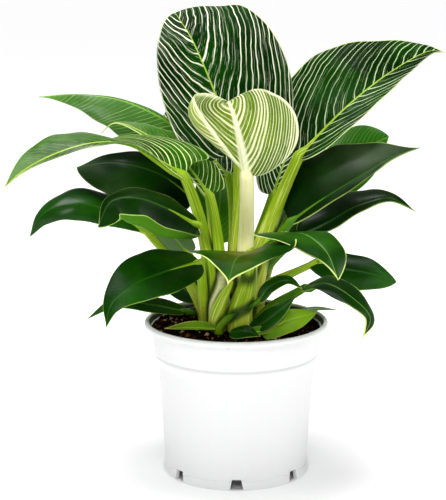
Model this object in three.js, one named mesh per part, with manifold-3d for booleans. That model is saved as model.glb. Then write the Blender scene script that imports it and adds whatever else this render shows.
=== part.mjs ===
// Potted philodendron: a white nursery pot, potting soil and a clump of striped and plain leaves.
// Millimetres, +Z up, -Y towards the front. The origin is on the pot's axis, on the floor.
import * as THREE from 'three';
import { mergeVertices } from 'three/addons/utils/BufferGeometryUtils.js';
import Module from 'manifold-3d';

const wasm = await Module();
wasm.setup();

// ---- Driving dimensions of the pot ----
const POT_HEIGHT = 100.8;
const RIM_RADIUS = 60;
const RIM_BEAD_HEIGHT = 4.3;
const RIM_INNER_RADIUS = 57.2;
const BAND_TOP_RADIUS = 54.8;
const BAND_FOOT_RADIUS = 53.9;
const BAND_FOOT_Z = 79.5;
const WALL_TOP_RADIUS = 51.3;
const WALL_TOP_Z = 73;
const WALL_FOOT_RADIUS = 46.4;
const WALL = 1.2;
const FOOT_RADIUS = 47.5;
const FOOT_INNER_RADIUS = 44.6;
const FOOT_HEIGHT = 5;
const FLOOR_UNDERSIDE_Z = 7;
const FLOOR_THICKNESS = 1.6;
const DRAFT = 0.4;
const BEAD_ROUND = 1.6;
const POT_SEGMENTS = 42;

// ---- Drainage notches in the foot ----
const NOTCH_COUNT = 7;
const NOTCH_WIDTH_BOTTOM = 8.6;
const NOTCH_WIDTH_TOP = 6;
const NOTCH_HEIGHT = 6.6;
const NOTCH_DEPTH = 8;
const NOTCH_OVERCUT = 1;
const FRONT = -Math.PI / 2;

// ---- Soil and stem ----
const CLEARANCE = 0.35;
const SOIL_EDGE_Z = 95.7;
const SOIL_CROWN_Z = 96.9;
const SOIL_MOUND = [[46, 96.2], [28, 96.7]];
const STEM_FOOT_RADIUS = 11;
const STEM_TOP_RADIUS = 5;
const STEM_LEAN = 3;
const STEM_FORWARD = 2;
const STEM_STEPS = 5;
const STEM_SIDES = 10;
const CATAPHYLL_SIDES = 8;
const STEM_TOP_Z = 126;

// ---- Leaves: solids with a lens-shaped section bent along the midrib ----
const BLADE_HALF_THICKNESS = 0.7;
const BLADE_ROWS = 8;
const BLADE_RING = 12;
const SMALL_BLADE_ROWS = 6;
const SMALL_BLADE_RING = 8;
const STALK_STEPS = 6;
const STALK_SIDES = 7;
const NECK_GAP = 0.6;
const CURL_SAMPLES = 12;
const SIDE_STEP = 0.02;
const ENTRY_RISE = 0.35;
const EXIT_PULL = 0.33;
const FLOW = 0.3;
const OUTWARD_LEAN = 0.15;
const TAPER = 1.5;
const WELD = 1e-5;
const WELD_SPAN = 0.03;

const LEAF_DEFAULTS = {
  shape: [0.68, 0.55, 1.05],
  fold: [10, 6],
  curl: [-16, -18],
  lobe: 0.25,
  sweep: 0.15,
  rise: ENTRY_RISE,
  flow: FLOW,
  roll: [0, 0],
};

// Each leaf: rib is the midrib from neck to tip; face gives azimuth and elevation in degrees of
// the upper side from neck to tip; wide is the half width to the left and right of the midrib;
// shape is [where the widest part lies, bluntness at the neck, sharpness at the tip];
// fold and curl are degrees by which each half rises at the midrib and rolls towards its margin,
// at neck and tip, and roll a further turn close to the margin; foot is the petiole's start on the
// stem as [azimuth, height, radius] and stalk its radius at the foot and at the neck; rows is set on
// strongly bent blades.
const LEAVES = [
  {
    name: 'leaf_01', tone: 'striped',
    rib: [[1, 2, 210], [-14, 8, 248], [-28, 20, 279], [-40, 42, 296]],
    face: [[-95, 2], [-100, 22], [-100, 65]], wide: [34, 51], shape: [0.8, 0.45, 0.68],
    fold: [14, 14], curl: [-8, -18], lobe: 0.35, sweep: 0.2, foot: [-95, 116, 6], stalk: [5, 3.4],
    shapeLeft: [0.56, 0.45, 0.62], shapeRight: [0.74, 0.45, 0.5], sweepRight: 0.12,
  },
  {
    name: 'leaf_02', tone: 'striped',
    rib: [[39, 2, 206], [71, 11, 238], [100, 23, 259], [125, 36, 271], [138, 48, 270]],
    face: [[-112, 10], [-112, 30]], wide: [41, 19], shape: [0.62, 0.55, 1.35], fold: [14, 8],
    curl: [-14, -20], foot: [-20, 112, 10], stalk: [7.5, 4], shapeRight: [0.62, 0.9, 1.1],
    foldRight: [30, 20], curlRight: [10, 10],
  },
  {
    name: 'leaf_03', tone: 'young',
    rib: [[6, -30, 199], [2, -32, 221], [-2, -28, 237], [-5, -24, 245]],
    face: [[-88, 0], [-88, 6], [-88, 12]], wide: [40, 40], shape: [1, 0.6, 0.5], lobe: 0.1,
    sweep: 0.1, foot: [-62, 120, 9], stalk: [5.5, 4.4], shapeLeft: [1.7, 1, 0.35],
    foldLeft: [-20, -25], curlLeft: [0, 0], rollLeft: [230, 230], sweepLeft: 0.5,
    foldRight: [25, 20], curlRight: [-10, 25],
  },
  {
    name: 'leaf_04', tone: 'striped',
    rib: [[-33, -22, 198], [-51, -30, 211], [-68, -42, 221], [-88, -54, 223], [-111, -64, 217],
      [-128, -70, 208], [-138, -74, 199]],
    face: [[-62, 20], [-70, 62], [-80, 92], [-90, 80], [-95, 62], [-98, 38], [-100, 30]],
    wide: [5, 30], shape: [0.62, 0.42, 1], fold: [15, 0], curl: [-10, -30], lobe: 0.9,
    foot: [-162, 98.5, 13], stalk: [5, 3.2], rows: 12, foldLeft: [30, 20, -10, -20, -20],
    curlLeft: [0, 0],
  },
  {
    name: 'leaf_05', tone: 'striped',
    rib: [[-17, -10, 183], [-32, -6, 203], [-55, 0, 220], [-78, 6, 228], [-87, 8, 221]],
    face: [[-55, 5], [-90, 60], [-95, 76]], wide: [4, 17], shape: [0.55, 0.5, 1.2], fold: [15, 0],
    curl: [-10, -30], lobe: 0.5, foot: [-125, 98, 15], stalk: [4.5, 3],
  },
  {
    name: 'leaf_06', tone: 'fresh',
    rib: [[-26, 22, 211], [-46, 26, 227], [-75, 28, 240], [-104, 26, 244], [-128, 22, 243]],
    face: [[-90, 50], [-95, 65]], wide: [24, 7], shape: [0.62, 0.6, 1.3], fold: [-10, -20],
    curl: [-40, -30], foot: [165, 112, 10], stalk: [4.5, 2.8],
  },
  {
    name: 'leaf_07', tone: 'dark',
    rib: [[-28, 20, 177], [-50, 18, 193], [-78, 14, 201], [-103, 8, 199]],
    face: [[-85, 45], [-95, 50]], wide: [30, 16], shape: [0.7, 0.6, 1], fold: [5, 0],
    curl: [-30, -30], foot: [150, 98, 16], stalk: [4.5, 2.6], shapeLeft: [0.9, 0.6, 0.6],
  },
  {
    name: 'leaf_08', tone: 'dark',
    rib: [[-58, 4, 158], [-81, -2, 172], [-106, -8, 179], [-124, -10, 171], [-132, -10, 157]],
    face: [[-85, 45], [-100, 50]], wide: [12, 23], shape: [0.65, 0.6, 1.1], fold: [-5, -10],
    curl: [-40, -40], foot: [178, 97.5, 20], stalk: [4.5, 2.8], shapeLeft: [1, 0.8, 0.9],
  },
  {
    name: 'leaf_09', tone: 'dark',
    rib: [[-24, -34, 169], [-42, -44, 181], [-60, -52, 189], [-76, -58, 188], [-84, -62, 173]],
    face: [[-70, 50], [-95, 55]], wide: [34, 14], shape: [0.65, 0.55, 1.1], fold: [0, -5],
    curl: [-20, -25], foot: [-144, 98, 17], stalk: [4, 2.4], shapeLeft: [0.85, 0.6, 0.8],
    foldLeft: [-25, -25, -20, -15], curlLeft: [0, 0], rollLeft: [190, 190, 200, 170, 90],
  },
  {
    name: 'leaf_10', tone: 'dark',
    rib: [[-23, -30, 145], [-45, -52, 143], [-65, -66, 137], [-76, -74, 127], [-79, -78, 114]],
    face: [[-70, 50], [-105, 25]], wide: [15, 20], shape: [0.68, 0.5, 1.05], fold: [2, 2],
    curl: [-16, -16], lobe: 0.15, foot: [-150, 97.5, 22], stalk: [3.6, 2.6], rise: 0.45, flow: 0,
    shapeRight: [0.68, 0.5, 1.4],
  },
  {
    name: 'leaf_11', tone: 'dark',
    rib: [[9, -34, 152], [4, -58, 156], [-2, -84, 156], [-6, -97, 145]],
    face: [[-95, 70], [-95, 25]], wide: [34, 34], shape: [0.7, 0.55, 1.6], fold: [8, 6],
    curl: [-12, -10], foot: [-80, 98, 18], stalk: [4.5, 2.8], foldLeft: [34, 10], foldRight: [-2, 4],
  },
  {
    name: 'leaf_12', tone: 'dark',
    rib: [[30, -34, 164], [42, -50, 166], [54, -66, 158], [60, -78, 144]],
    face: [[-40, 60], [-60, 25]], wide: [17, 25], shape: [0.7, 0.55, 1], fold: [5, 5],
    curl: [-20, -12], lobe: 0.6, foot: [-42, 122, 8], stalk: [4.5, 2.6], shapeLeft: [0.75, 0.5, 0.8],
    foldLeft: [12, 5], shapeRight: [0.42, 0.5, 1.3],
  },
  {
    name: 'leaf_13', tone: 'dark',
    rib: [[34, -8, 166], [52, -12, 180], [75, -14, 195], [97, -12, 208], [116, -8, 214]],
    face: [[-115, 35], [-100, 50]], wide: [34, 6], shape: [0.6, 0.5, 1.2], fold: [6, 6],
    curl: [-16, -16], foot: [-2, 120, 10], stalk: [5, 2.8],
  },
  {
    name: 'leaf_14', tone: 'striped',
    rib: [[-5, 30, 190], [-20, 48, 205], [-34, 62, 222], [-42, 78, 236]],
    face: [[-80, 10], [-90, 40]], wide: [28, 28], shape: [0.75, 0.6, 1], fold: [10, 10],
    curl: [-10, -20], foot: [104, 117, 8.5], stalk: [4, 2.6],
  },
  {
    name: 'leaf_15', tone: 'fresh',
    rib: [[46, 36, 180], [66, 46, 192], [86, 52, 205], [103, 54, 213]],
    face: [[-105, 25], [-100, 35]], wide: [19, 22], shape: [0.8, 0.55, 0.9], fold: [5, 5],
    curl: [-10, -10], foot: [32, 99, 16], stalk: [4, 2.4], shapeLeft: [1.5, 1, 0.7],
  },
  {
    name: 'leaf_16', tone: 'dark',
    rib: [[41, 14, 153], [61, 12, 163], [80, 6, 175], [99, 0, 180], [115, -4, 172]],
    face: [[-90, 50], [-95, 55]], wide: [19, 7], shape: [0.6, 0.9, 1.15], fold: [10, 0],
    curl: [-30, -40], foot: [18, 112, 10], stalk: [4.2, 2.4],
  },
  {
    name: 'leaf_17', tone: 'dark',
    rib: [[53, 14, 136], [68, 12, 132], [87, 6, 129.5], [104, 0, 125]], face: [[-90, 50], [-95, 50]],
    wide: [15, 15], shape: [0.7, 0.7, 0.8], fold: [5, 0], curl: [-20, -20], lobe: 0.7,
    foot: [2, 112, 9], stalk: [4.2, 2.4], rise: 0.2, flow: 0, shapeRight: [0.85, 0.6, 0.7],
  },
  {
    name: 'leaf_18', tone: 'dark',
    rib: [[43, -20, 126], [56, -30, 131], [72, -40, 124], [82.5, -48, 113], [77.5, -52, 101]],
    face: [[-60, 60], [-30, 30]], wide: [14, 11], shape: [0.65, 0.6, 1.1], fold: [10, 5],
    curl: [-20, -30], foot: [-27, 97.5, 19], stalk: [5, 2.8],
  },
  {
    name: 'leaf_19', tone: 'fresh',
    rib: [[-11, 24, 146], [-11, 38, 165], [-10, 62, 181], [-10, 86, 185], [-10, 97, 169]],
    face: [[-90, -20], [-90, 50], [-90, 75]], wide: [17, 17], shape: [0.8, 0.6, 1], fold: [8, 8],
    curl: [-8, -8], foot: [118, 99, 16], stalk: [4, 2.5],
  },
  {
    name: 'leaf_20', tone: 'striped',
    rib: [[24, 28, 177], [31, 42, 194], [38, 58, 210], [44, 78, 221]], face: [[-100, 5], [-90, 40]],
    wide: [18, 18], shape: [0.7, 0.6, 1], fold: [10, 10], curl: [-10, -20], foot: [50, 116, 9],
    stalk: [4, 2.6],
  },
  {
    name: 'leaf_21', tone: 'dark', rib: [[28, 30, 148], [48, 52, 172], [70, 76, 182], [86, 93, 172]],
    face: [[-120, 60], [45, 70]], wide: [19, 19], shape: [0.65, 0.6, 1], foot: [62, 99, 16],
    stalk: [4, 2.4],
  },
  {
    name: 'leaf_22', tone: 'grey',
    rib: [[-32, 30, 138], [-52, 52, 154], [-74, 76, 158], [-90, 92, 148]],
    face: [[-60, 60], [135, 70]], wide: [15, 15], shape: [0.65, 0.6, 1], foot: [135, 98, 17],
    stalk: [4, 2.4],
  },
  {
    name: 'leaf_23', tone: 'dark',
    rib: [[-24, 24, 106], [-42, 44, 115], [-60, 62, 115], [-72, 74, 105]],
    face: [[-60, 60], [135, 70]], wide: [15, 15], shape: [0.65, 0.6, 1], foot: [155, 98, 21],
    stalk: [3.6, 2.2],
  },
];

// Short leaves near the soil, with no stalk of their own or a thin one.
const BASAL_LEAVES = [
  {
    name: 'basal_leaf_01', tone: 'dark',
    rib: [[14, -30, 120], [21, -34, 130], [32, -38, 135], [41, -42, 130]],
    face: [[-90, 50], [-90, 40]], wide: [5, 5], shape: [0.6, 0.6, 1], fold: [10, 10],
    curl: [-20, -20], foot: [-111, 98, 32], stalk: [2.4, 1.6],
  },
  {
    name: 'basal_leaf_02', tone: 'pale', rib: [[16, -36, 99], [30, -31, 106], [51, -22, 110]],
    face: [[-100, 50], [-100, 40]], wide: [9, 9], shape: [0.7, 0.6, 0.9], fold: [10, 10],
    curl: [-20, -20],
  },
  {
    name: 'basal_leaf_03', tone: 'grey', rib: [[35, -8, 104], [49, -12, 110], [64, -18, 111]],
    face: [[-90, 60], [-90, 60]], wide: [2.5, 2.5], shape: [0.6, 0.6, 1], fold: [10, 10],
    curl: [-20, -20],
  },
  {
    name: 'basal_leaf_04', tone: 'dark',
    rib: [[-33, 2, 105], [-56, 0, 110], [-79, -4, 112], [-97, -8, 102]],
    face: [[-90, 50], [-90, 40]], wide: [6, 6.5], shape: [0.6, 0.6, 1], fold: [10, 0],
    curl: [-20, -20], foot: [170, 98, 14], stalk: [3, 2],
  },
  {
    name: 'basal_leaf_05', tone: 'pale', rib: [[-13, -29, 101], [-29, -30, 102], [-46, -27, 101]],
    face: [[-90, 50], [-90, 40]], wide: [5, 5], shape: [0.6, 0.6, 1], fold: [30, 30], curl: [40, 40],
  },
  {
    name: 'basal_leaf_06', tone: 'dark', rib: [[-4, -36, 101], [6, -41, 103], [15, -43, 100]],
    face: [[-90, 60], [-90, 50]], wide: [6, 6], shape: [0.6, 0.6, 1], fold: [0, 0], curl: [-20, -20],
  },
  {
    name: 'basal_leaf_07', tone: 'pale', rib: [[5, -33, 99], [15, -35, 101], [25, -33, 101]],
    face: [[-90, 60], [-90, 50]], wide: [4, 4], shape: [0.6, 0.6, 1], fold: [10, 10], curl: [20, 20],
  },
  {
    name: 'basal_leaf_08', tone: 'dark', rib: [[9, -32, 101], [22, -31, 109], [38, -24, 122]],
    face: [[-100, 45], [-100, 40]], wide: [7, 6], shape: [0.6, 0.6, 1], fold: [10, 10],
    curl: [-20, -20],
  },
];

// Fleshy sheaths that stand against the stem: a path and a radius at its foot and its point.
const CATAPHYLLS = [
  {
    name: 'cataphyll_01',
    path: [[-12, -22, 97.9], [-12.8, -24, 107], [-9.5, -25, 118], [-3, -24.5, 131]], radius: [4.8, 2],
  },
  {
    name: 'cataphyll_02',
    path: [[2, -23, 97.9], [2.5, -25, 110], [6.5, -24, 126], [10, -20, 146]], radius: [7, 3.5],
  },
  {
    name: 'cataphyll_03',
    path: [[-11, -15, 97.9], [-11.5, -16, 115], [-8.5, -15, 142]], radius: [6.5, 3],
  },
];

const TONES = {
  striped: { color: 0x1f5a2c, roughness: 0.35, metalness: 0 },
  young: { color: 0xc9d67a, roughness: 0.42, metalness: 0 },
  dark: { color: 0x1b4a24, roughness: 0.3, metalness: 0 },
  fresh: { color: 0x2f8a2a, roughness: 0.38, metalness: 0 },
  pale: { color: 0x9bbd45, roughness: 0.5, metalness: 0 },
  grey: { color: 0x7d9678, roughness: 0.6, metalness: 0 },
  stalk: { color: 0x8fae3a, roughness: 0.45, metalness: 0 },
  soil: { color: 0x2c1d16, roughness: 0.95, metalness: 0 },
  pot: { color: 0xf4f4f2, roughness: 0.35, metalness: 0 },
};

const mix = (a, b, t) => a + (b - a) * t;
const radians = THREE.MathUtils.degToRad;

/** Unit vector at an azimuth and elevation in degrees. */
function direction([azimuth, elevation]) {
  const flat = Math.cos(radians(elevation));
  return new THREE.Vector3(
    flat * Math.cos(radians(azimuth)), flat * Math.sin(radians(azimuth)), Math.sin(radians(elevation)));
}

/** Value of a list of evenly spaced stations at t from 0 to 1. */
function along(list, t) {
  const at = t * (list.length - 1);
  const i = Math.min(Math.floor(at), list.length - 2);
  return mix(list[i], list[i + 1], at - i);
}

/** Midrib stations with the directions along it, off the upper side and across. */
function ribFrames(leaf, rows) {
  const stations = leaf.rib.map((p) => new THREE.Vector3(...p));
  const curve = new THREE.CatmullRomCurve3(stations, false, 'centripetal');
  const points = curve.getSpacedPoints(rows);
  const faces = leaf.face.map(direction);
  return points.map((point, i) => {
    const before = points[Math.max(i - 1, 0)];
    const after = points[Math.min(i + 1, rows)];
    const tangent = after.clone().sub(before).normalize();
    const [x, y, z] = ['x', 'y', 'z'].map((axis) => along(faces.map((f) => f[axis]), i / rows));
    const normal = new THREE.Vector3(x, y, z).projectOnPlane(tangent).normalize();
    return { point, tangent, normal, across: tangent.clone().cross(normal) };
  });
}

/** Point of a leaf's middle surface, u from neck to tip and v from the left margin to the right. */
function skinPoint(leaf, frame, u, v, grow) {
  const right = v >= 0;
  const pick = (key) => leaf[key + (right ? 'Right' : 'Left')] ?? leaf[key];
  const [widest, blunt, sharp] = pick('shape');
  const half = leaf.wide[right ? 1 : 0];
  const width = half * Math.sin(Math.PI * u ** widest) ** mix(blunt, sharp, u) + grow;
  const reach = Math.abs(v);
  const [fold, curl, roll] = ['fold', 'curl', 'roll'].map((key) => along(pick(key), u));
  let flat = 0;
  let lift = 0;
  for (let i = 0; i < CURL_SAMPLES; i += 1) {
    const far = (reach * (i + 0.5)) / CURL_SAMPLES;
    const angle = radians(fold + curl * far + roll * far ** 3);
    flat += (Math.cos(angle) * reach * width) / CURL_SAMPLES;
    lift += (Math.sin(angle) * reach * width) / CURL_SAMPLES;
  }
  const shift = pick('sweep') * width * reach ** 2 - leaf.lobe * half * reach ** 2 * (1 - u) ** 4;
  return frame.point.clone()
    .addScaledVector(frame.across, right ? flat : -flat)
    .addScaledVector(frame.normal, lift)
    .addScaledVector(frame.tangent, shift);
}

/** Direction off the blade's upper side at a place across one of its rows. */
function skinNormal(leaf, frame, u, v, grow) {
  const [before, after] = [Math.max(v - SIDE_STEP, -1), Math.min(v + SIDE_STEP, 1)];
  const across = skinPoint(leaf, frame, u, after, grow).sub(skinPoint(leaf, frame, u, before, grow));
  const normal = across.cross(frame.tangent).negate().normalize();
  return normal.lengthSq() > 0 ? normal : frame.normal;
}

/** Triangles of a sphere's grid with the lower side's diagonals lying under those of the upper side. */
function lensIndex(rows, ring) {
  const index = [];
  for (let row = 0; row < rows; row += 1) {
    for (let i = 0; i < ring; i += 1) {
      const near = row * (ring + 1) + i;
      const far = near + ring + 1;
      if (row === 0) {
        index.push(near, far, far + 1);
      } else if (row === rows - 1) {
        index.push(near + 1, near, far + 1);
      } else if (i < ring / 2) {
        index.push(near + 1, near, far + 1, near, far, far + 1);
      } else {
        index.push(near + 1, near, far, near + 1, far, far + 1);
      }
    }
  }
  return index;
}

/** A leaf blade: a sphere flattened to a thin lens and laid along the bent leaf surface. */
function bladeGeometry(spec, rows, ring, grow = 0) {
  const leaf = { ...LEAF_DEFAULTS, ...spec };
  const frames = ribFrames(leaf, rows);
  const sphere = new THREE.SphereGeometry(1, ring, rows);
  sphere.setIndex(lensIndex(rows, ring));
  const position = sphere.attributes.position;
  for (let i = 0; i < position.count; i += 1) {
    const row = Math.floor(i / (ring + 1));
    const turn = (2 * Math.PI * (i % (ring + 1))) / ring;
    const frame = frames[row];
    const u = row / rows;
    const v = Math.cos(turn);
    if (row === 0 || row === rows) {
      const end = frame.point.clone().addScaledVector(frame.tangent, row === 0 ? NECK_GAP - grow : grow);
      position.setXYZ(i, end.x, end.y, end.z);
    } else {
      const half = (BLADE_HALF_THICKNESS + grow) * Math.sin(turn);
      const point = skinPoint(leaf, frame, u, v, grow)
        .addScaledVector(skinNormal(leaf, frame, u, v, grow), half);
      position.setXYZ(i, point.x, point.y, point.z);
    }
  }
  return sphere;
}

/** A tapered round stalk: a cylinder bent along a curve. */
function bentCylinder(curve, radii, steps, sides, grow = 0) {
  const cylinder = new THREE.CylinderGeometry(1, 1, 1, sides, steps);
  const position = cylinder.attributes.position;
  const reference = new THREE.Vector3(0.3, -1, 0.2);
  for (let i = 0; i < position.count; i += 1) {
    const t = 0.5 - position.getY(i);
    const point = curve.getPoint(t);
    const tangent = curve.getTangent(t);
    const side = reference.clone().projectOnPlane(tangent).normalize();
    const other = tangent.clone().cross(side);
    const radius = mix(radii[1], radii[0], (1 - t) ** TAPER) + grow;
    const [x, z] = [position.getX(i) * radius, position.getZ(i) * radius];
    point.addScaledVector(side, x).addScaledVector(other, z);
    if (grow > 0 && t >= 1) point.addScaledVector(tangent, grow);
    position.setXYZ(i, point.x, point.y, point.z);
  }
  return cylinder;
}

/** The petiole's line: it leaves the stem upwards and runs into the midrib. */
function stalkCurve(spec) {
  const leaf = { ...LEAF_DEFAULTS, ...spec };
  const [azimuth, height, radius] = leaf.foot;
  const outward = direction([azimuth, 0]);
  const foot = outward.clone().multiplyScalar(radius).setZ(height);
  const neck = new THREE.Vector3(...leaf.rib[0]);
  const span = foot.distanceTo(neck);
  const start = outward.clone().multiplyScalar(OUTWARD_LEAN).setZ(1).normalize();
  const straight = neck.clone().sub(foot).normalize();
  const exit = straight.multiplyScalar(1 - leaf.flow)
    .addScaledVector(ribFrames(leaf, BLADE_ROWS)[0].tangent, leaf.flow)
    .normalize();
  return new THREE.CubicBezierCurve3(
    foot,
    foot.clone().addScaledVector(start, span * leaf.rise),
    neck.clone().addScaledVector(exit, -span * EXIT_PULL),
    neck);
}

function stalkGeometry(spec, grow = 0) {
  return bentCylinder(stalkCurve(spec), spec.stalk, STALK_STEPS, STALK_SIDES, grow);
}

/** Turns a closed three.js geometry into a solid with its faces pointing out. */
function solid(geometry) {
  const bare = new THREE.BufferGeometry();
  bare.setAttribute('position', geometry.attributes.position);
  bare.setIndex(geometry.index);
  const merged = mergeVertices(bare, WELD);
  const positions = merged.attributes.position.array;
  const triangles = Uint32Array.from(merged.index.array);
  const corner = (i) => new THREE.Vector3().fromArray(positions, 3 * triangles[i]);
  let volume = 0;
  for (let i = 0; i < triangles.length; i += 3) {
    volume += corner(i).dot(corner(i + 1).cross(corner(i + 2)));
  }
  if (volume < 0) {
    for (let i = 0; i < triangles.length; i += 3) {
      [triangles[i], triangles[i + 1]] = [triangles[i + 1], triangles[i]];
    }
  }
  return new wasm.Manifold(new wasm.Mesh({
    numProp: 3,
    vertProperties: Float32Array.from(positions),
    triVerts: triangles,
  }));
}

/** The largest separate body of a solid. */
function largest(shape) {
  return shape.decompose().sort((a, b) => b.volume() - a.volume())[0];
}

/** The pot, with its bead rim, upper band, tapering wall, floor and foot ring. */
function potSolid() {
  const floorTop = FLOOR_UNDERSIDE_Z + FLOOR_THICKNESS;
  const beadZ = POT_HEIGHT - RIM_BEAD_HEIGHT;
  const profile = [
    [0, FLOOR_UNDERSIDE_Z],
    [FOOT_INNER_RADIUS - DRAFT, FLOOR_UNDERSIDE_Z],
    [FOOT_INNER_RADIUS, 0],
    [FOOT_RADIUS, 0],
    [FOOT_RADIUS, FOOT_HEIGHT],
    [WALL_FOOT_RADIUS + DRAFT / 2, FOOT_HEIGHT + DRAFT],
    [WALL_TOP_RADIUS, WALL_TOP_Z],
    [BAND_FOOT_RADIUS, BAND_FOOT_Z],
    [BAND_TOP_RADIUS, beadZ - DRAFT],
    [RIM_RADIUS - DRAFT, beadZ],
    [RIM_RADIUS, beadZ + 2 * DRAFT],
    [RIM_RADIUS, POT_HEIGHT - BEAD_ROUND],
    [RIM_RADIUS - BEAD_ROUND / 2, POT_HEIGHT - DRAFT / 2],
    [RIM_RADIUS - BEAD_ROUND, POT_HEIGHT],
    [RIM_INNER_RADIUS, POT_HEIGHT - BEAD_ROUND / 2],
    [RIM_INNER_RADIUS - DRAFT / 2, beadZ + DRAFT],
    [BAND_TOP_RADIUS - WALL, beadZ - WALL],
    [BAND_FOOT_RADIUS - WALL, BAND_FOOT_Z + DRAFT],
    [WALL_TOP_RADIUS - WALL, WALL_TOP_Z + DRAFT],
    [WALL_FOOT_RADIUS - WALL, floorTop],
    [0, floorTop],
  ].map(([r, z]) => new THREE.Vector2(r, z));
  const lathe = new THREE.LatheGeometry(profile, POT_SEGMENTS);
  lathe.rotateX(Math.PI / 2);
  let pot = solid(lathe);
  for (let i = 0; i < NOTCH_COUNT; i += 1) {
    pot = pot.subtract(notchSolid(FRONT + (2 * Math.PI * i) / NOTCH_COUNT));
  }
  return pot;
}

/** The wedge that cuts one drainage notch out of the foot ring. */
function notchSolid(angle) {
  const outline = new THREE.Shape([
    new THREE.Vector2(-NOTCH_WIDTH_BOTTOM / 2, -NOTCH_OVERCUT),
    new THREE.Vector2(NOTCH_WIDTH_BOTTOM / 2, -NOTCH_OVERCUT),
    new THREE.Vector2(NOTCH_WIDTH_TOP / 2, NOTCH_HEIGHT),
    new THREE.Vector2(-NOTCH_WIDTH_TOP / 2, NOTCH_HEIGHT),
  ]);
  const wedge = new THREE.ExtrudeGeometry(outline, { depth: NOTCH_DEPTH, bevelEnabled: false });
  wedge.rotateX(Math.PI / 2);
  wedge.translate(0, FOOT_RADIUS + NOTCH_DEPTH / 4, 0);
  wedge.rotateZ(angle - Math.PI / 2);
  return solid(wedge);
}

/** The soil, which fills the pot to just below the rim and is slightly mounded. */
function soilSolid() {
  const inset = WALL + CLEARANCE;
  const bottom = FLOOR_UNDERSIDE_Z + FLOOR_THICKNESS + CLEARANCE;
  const profile = [
    [0, bottom],
    [WALL_FOOT_RADIUS - inset, bottom],
    [WALL_TOP_RADIUS - inset, WALL_TOP_Z + DRAFT],
    [BAND_FOOT_RADIUS - inset, BAND_FOOT_Z + DRAFT],
    [BAND_TOP_RADIUS - inset - DRAFT, SOIL_EDGE_Z],
    ...SOIL_MOUND,
    [0, SOIL_CROWN_Z],
  ].map(([r, z]) => new THREE.Vector2(r, z));
  const lathe = new THREE.LatheGeometry(profile, POT_SEGMENTS);
  lathe.rotateX(Math.PI / 2);
  return solid(lathe);
}

/** The short stem that all the petioles sheathe. */
function stemSolid(grow = 0) {
  const path = new THREE.CatmullRomCurve3([
    new THREE.Vector3(-STEM_LEAN, -STEM_FORWARD, SOIL_CROWN_Z + CLEARANCE),
    new THREE.Vector3(-STEM_LEAN / 3, -STEM_FORWARD, mix(SOIL_CROWN_Z, STEM_TOP_Z, 0.5)),
    new THREE.Vector3(0, -STEM_FORWARD, STEM_TOP_Z),
  ]);
  const radii = [STEM_FOOT_RADIUS, STEM_TOP_RADIUS];
  return solid(bentCylinder(path, radii, STEM_STEPS, STEM_SIDES, grow));
}

/** A sheath's solid, pointed like a claw. */
function cataphyllSolid(spec, grow = 0) {
  const path = new THREE.CatmullRomCurve3(spec.path.map((p) => new THREE.Vector3(...p)));
  return solid(bentCylinder(path, spec.radius, STEM_STEPS, CATAPHYLL_SIDES, grow));
}

/** A short leaf's solid: its blade, with its thin stalk run into the midrib where it has one. */
function basalSolid(spec, grow = 0) {
  const blade = solid(bladeGeometry(spec, SMALL_BLADE_ROWS, SMALL_BLADE_RING, grow));
  if (!spec.foot) return blade;
  const second = ribFrames({ ...LEAF_DEFAULTS, ...spec }, SMALL_BLADE_ROWS)[1].point.toArray();
  const stalk = solid(stalkGeometry({ ...spec, rib: [second, ...spec.rib.slice(1)] }, grow));
  return blade.add(stalk);
}

/** All sub-parts in the order in which a later one gives way to an earlier one. */
function recipes() {
  const list = [
    { name: 'pot', tone: 'pot', make: () => potSolid() },
    { name: 'soil', tone: 'soil', make: () => soilSolid() },
    { name: 'stem', tone: 'stalk', make: stemSolid },
  ];
  for (const spec of LEAVES) {
    list.push({
      name: `${spec.name}_petiole`,
      tone: 'stalk',
      make: (grow) => solid(stalkGeometry(spec, grow)),
    });
  }
  for (const spec of CATAPHYLLS) {
    list.push({ name: spec.name, tone: 'stalk', make: (grow) => cataphyllSolid(spec, grow) });
  }
  for (const spec of LEAVES) {
    list.push({
      name: `${spec.name}_blade`,
      tone: spec.tone,
      make: (grow) => solid(bladeGeometry(spec, spec.rows ?? BLADE_ROWS, BLADE_RING, grow)),
    });
  }
  for (const spec of BASAL_LEAVES) {
    list.push({ name: spec.name, tone: spec.tone, make: (grow) => basalSolid(spec, grow) });
  }
  return list;
}

/** True where two solids' boxes meet. */
function boxesMeet(a, b) {
  const [p, q] = [a.boundingBox(), b.boundingBox()];
  return [0, 1, 2].every((axis) => p.min[axis] <= q.max[axis] && q.min[axis] <= p.max[axis]);
}

/** Builds every sub-part, each cut back to leave a small gap to the ones before it. */
function assemble() {
  const group = new THREE.Group();
  const earlier = [];
  for (const { name, tone, make } of recipes()) {
    let body = make(0);
    for (const grown of earlier) {
      if (boxesMeet(body, grown)) {
        body = body.subtract(grown);
      }
    }
    body = largest(body.simplify(WELD_SPAN));
    earlier.push(make(CLEARANCE));
    const { vertProperties, triVerts } = body.getMesh();
    const geometry = new THREE.BufferGeometry();
    geometry.setAttribute('position', new THREE.BufferAttribute(Float32Array.from(vertProperties), 3));
    geometry.setIndex(new THREE.BufferAttribute(Uint32Array.from(triVerts), 1));
    geometry.computeVertexNormals();
    const mesh = new THREE.Mesh(geometry, new THREE.MeshStandardMaterial(TONES[tone]));
    mesh.name = name;
    group.add(mesh);
  }
  return group;
}

export default assemble();
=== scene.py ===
"""A potted philodendron: white nursery pot, soil, and a clump of striped and plain leaves.

Lengths are written in millimetres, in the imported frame: +Z up, -Y towards the front, the origin on
the pot's axis at the floor. They become metres when a mesh is made.
"""

import logging
from collections.abc import Iterable
from dataclasses import dataclass
from enum import Enum
from functools import cache

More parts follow.
